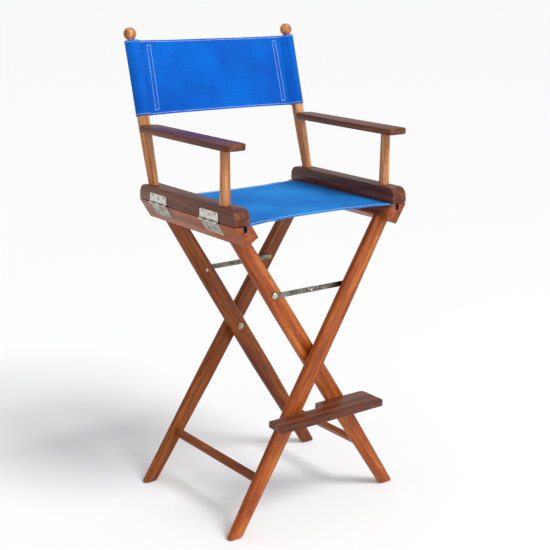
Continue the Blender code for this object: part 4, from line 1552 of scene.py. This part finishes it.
    def panel(self) -> None:
        """The open strip between the sleeves, with its seams and hems."""
        edge, near = self.half, 0.185  # the columns are closer together past near
        xs = np.concatenate([np.linspace(-edge, -near, 14), np.linspace(-near, near, 75)[1:-1],
                             np.linspace(near, edge, 14)])
        lows = [self.edges(x) for x in xs]
        ups = np.array([self.rows_up(*pair) for pair in lows])
        bow = self.bow(xs[:, None] * np.ones_like(ups), ups)
        grid = np.array([[PLAN.back_point(float(x), float(u), float(b))
                          for u, b in zip(row, rise)]
                         for x, row, rise in zip(xs, ups, bow)])
        thick = np.zeros(grid.shape[:2])
        for i, x in enumerate(xs):
            doubled = smooth((abs(x) - self.seam + 0.0075) / 0.001)
            thick[i] = self.thick + self.hem_thick(ups[i], *lows[i]) + 0.0009 * doubled
        made = cloth("back_cloth", grid, thick, DUCK)
        sewn = stitches("back_seam_stitches", self.seams())
        for piece in (made, sewn):
            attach(piece, "left_arm")
            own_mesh(piece)
            PLACED.append(piece.name)
        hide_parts("back_panel")
        log.info("back cloth of %d faces", len(made.data.polygons))

    def build(self) -> None:
        """Make both sleeves and the panel."""
        for side in Side:
            self.sleeve(side)
        self.panel()


# ---- footrest -----------------------------------------------------------------------------


@dataclass
class Footrest:
    """Board hinged on the inner front leg, deeper at that end, on a cleat and a block."""

    x: Pair = (-0.153, 0.162)
    z: Pair = (0.259, 0.275)
    front: float = -0.2679
    step_x: float = 0.011
    rear: Pair = (-0.2148, -0.1858)
    pivot: Pair = (0.1112, 0.2430)
    corner: float = 0.006
    deep_corner: float = 0.012
    sharp_corner: float = 0.0015
    edge_round: float = 0.0012
    bolt_at: float = -0.19  # place up the inner front leg
    cleat_gap: float = 0.0012
    cleat_deep: float = 0.0290

    def board(self) -> None:
        """The board with its stepped rear edge and softened edges."""
        (x0, x1), (outer, inner), f = self.x, self.rear, self.front
        r, deep, sharp = self.corner, self.deep_corner, self.sharp_corner

        def arc(cx: float, cy: float, radius: float, start: float) -> list[Pair]:
            """A quarter turn about a centre, from a starting angle in degrees."""
            return [(cx + radius * math.cos(math.radians(start + 15 * k)),
                     cy + radius * math.sin(math.radians(start + 15 * k)))
                    for k in range(7)]
        outline = arc(x0 + sharp, f + sharp, sharp, 180) + arc(x1 - r, f + r, r, 270)
        outline += arc(x1 - deep, inner - deep, deep, 0)
        outline += [(self.step_x, inner), (self.step_x - 0.006, inner - 0.006),
                    (self.step_x - 0.012, outer)]
        outline += arc(x0 + sharp, outer - sharp, sharp, 90)
        wood = ARM_WOOD.material((1, 0, 0), "board")
        board = prism("footrest_board_shaped", outline, *self.z, lambda a, b, h: (a, b, h),
                      wood, self.edge_round)
        settle(board, "footrest", "arm_wood", "footrest_board")

    def bolt(self) -> None:
        """Domed head of the bolt that the cleat turns on."""
        px, pz = self.pivot
        face = PLAN.leg_face(Side.INNER, End.FRONT, self.bolt_at, -1) - self.cleat_gap
        profile = [(0.0, 0.0020), (0.0004, 0.0040), (0.0012, 0.0054), (0.0022, 0.0060),
                   (0.0026, 0.0060), (0.00261, 0.0025),
                   (self.cleat_deep + PLAN.leg_thick + 0.0005, 0.0025)]
        made = turned("footrest_bolt_turned", (px, face - self.cleat_deep, pz), (0, 1, 0), profile,
                      BOLT_STEEL.material())
        settle(made, "inner_frame", "bolt_steel", "footrest_bolt")

    def build(self) -> None:
        """Make the board and the bolt, and dress the cleat and the block."""
        self.board()
        self.bolt()
        dress(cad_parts["footrest_cleat"], ARM_WOOD.material((1, 0, 0), "board"))
        dress(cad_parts["footrest_block"], FRAME_WOOD.material((1, 0, 0), "block"))


# ---- studio -------------------------------------------------------------------------------


@dataclass
class Studio:
    """Pale floor, soft boxes and the camera."""

    target: tuple[float, float, float] = (0.0, -0.0872, 0.600)
    azimuth: float = -37.416
    elevation: float = 14.619
    roll: float = 0.694
    distance: float = 2.844
    lens: float = 75.96
    shift: Pair = (-0.0259, -0.0139)
    boxes: Sequence[tuple[str, tuple[float, float, float], float, float]] = (
        ("fill", (1.6, -3.6, 1.5), 1.4, 24.0),
        ("rim", (-2.8, -2.6, 2.2), 1.4, 7.0))  # name, place, width and watts
    boxes_face: tuple[float, float, float] = (0.0, 0.0, 0.6)
    sun_from: tuple[float, float, float] = (0.9, -2.3, 3.2)
    sun_power: float = 1.9
    sun_wide: float = 22.0  # degrees
    surround: float = 0.58
    paper: float = 0.92

    def camera(self) -> None:
        """Camera at the chair's front left, looking a little down at it."""
        a, e = math.radians(self.azimuth), math.radians(self.elevation)
        back = Vector((math.sin(a) * math.cos(e), -math.cos(a) * math.cos(e), math.sin(e)))
        level = Vector((math.cos(a), math.sin(a), 0.0))
        up = back.cross(level)
        turn = math.radians(self.roll)
        right = level * math.cos(turn) + up * math.sin(turn)
        up = back.cross(right)
        data = bpy.data.cameras.new("camera")
        data.lens, data.sensor_width = self.lens, 36.0
        data.shift_x, data.shift_y = self.shift
        data.clip_start, data.clip_end = 0.05, 300.0
        made = stand("camera", data)
        place = Vector(self.target) + back * self.distance
        turned_to = Matrix((right, up, back)).transposed().to_4x4()
        made.matrix_world = Matrix.Translation(place) @ turned_to
        bpy.context.scene.camera = made
        bpy.context.scene.view_settings.view_transform = "Standard"

    def lights(self) -> None:
        """A broad high key, soft boxes and an even white surround."""
        data = bpy.data.lights.new("key", "SUN")
        data.energy, data.angle = self.sun_power, math.radians(self.sun_wide)
        made = stand("key", data)
        made.rotation_euler = Vector(self.sun_from).to_track_quat("Z", "Y").to_euler()
        for title, place, size, power in self.boxes:
            data = bpy.data.lights.new(title, "AREA")
            data.shape, data.size, data.energy = "SQUARE", size, power
            made = stand(title, data)
            made.location = place
            away = Vector(place) - Vector(self.boxes_face)
            made.rotation_euler = away.to_track_quat("Z", "Y").to_euler()
        world = bpy.data.worlds.new("surround")
        bpy.context.scene.world = world
        world.use_nodes = True
        background = world.node_tree.nodes["Background"]
        background.inputs["Color"].default_value = shade(1.0)
        background.inputs["Strength"].default_value = self.surround

    def floor(self) -> None:
        """Wide pale floor."""
        bm = bmesh.new()
        bmesh.ops.create_grid(bm, x_segments=1, y_segments=1, size=60.0)
        paper, _, _ = new_material("pale_paper_floor", Roughness=0.9,
                                   Base_Color=shade(self.paper))
        to_object("floor", bm, paper)

    def build(self) -> None:
        """Set up the studio."""
        self.floor()
        self.lights()
        self.camera()


def main() -> None:
    """Build the looks of the chair."""
    logging.basicConfig(level=logging.INFO, format="%(name)s: %(message)s")
    Studio().build()
    for side in Side:
        LegFrame(side).build()
        ArmFrame(side).build()
    Fittings().build()
    Footrest().build()
    SeatCanvas().build()
    BackCanvas().build()
    log.info("%d pieces placed", len(PLACED))


if __name__ == "__main__":
    main()
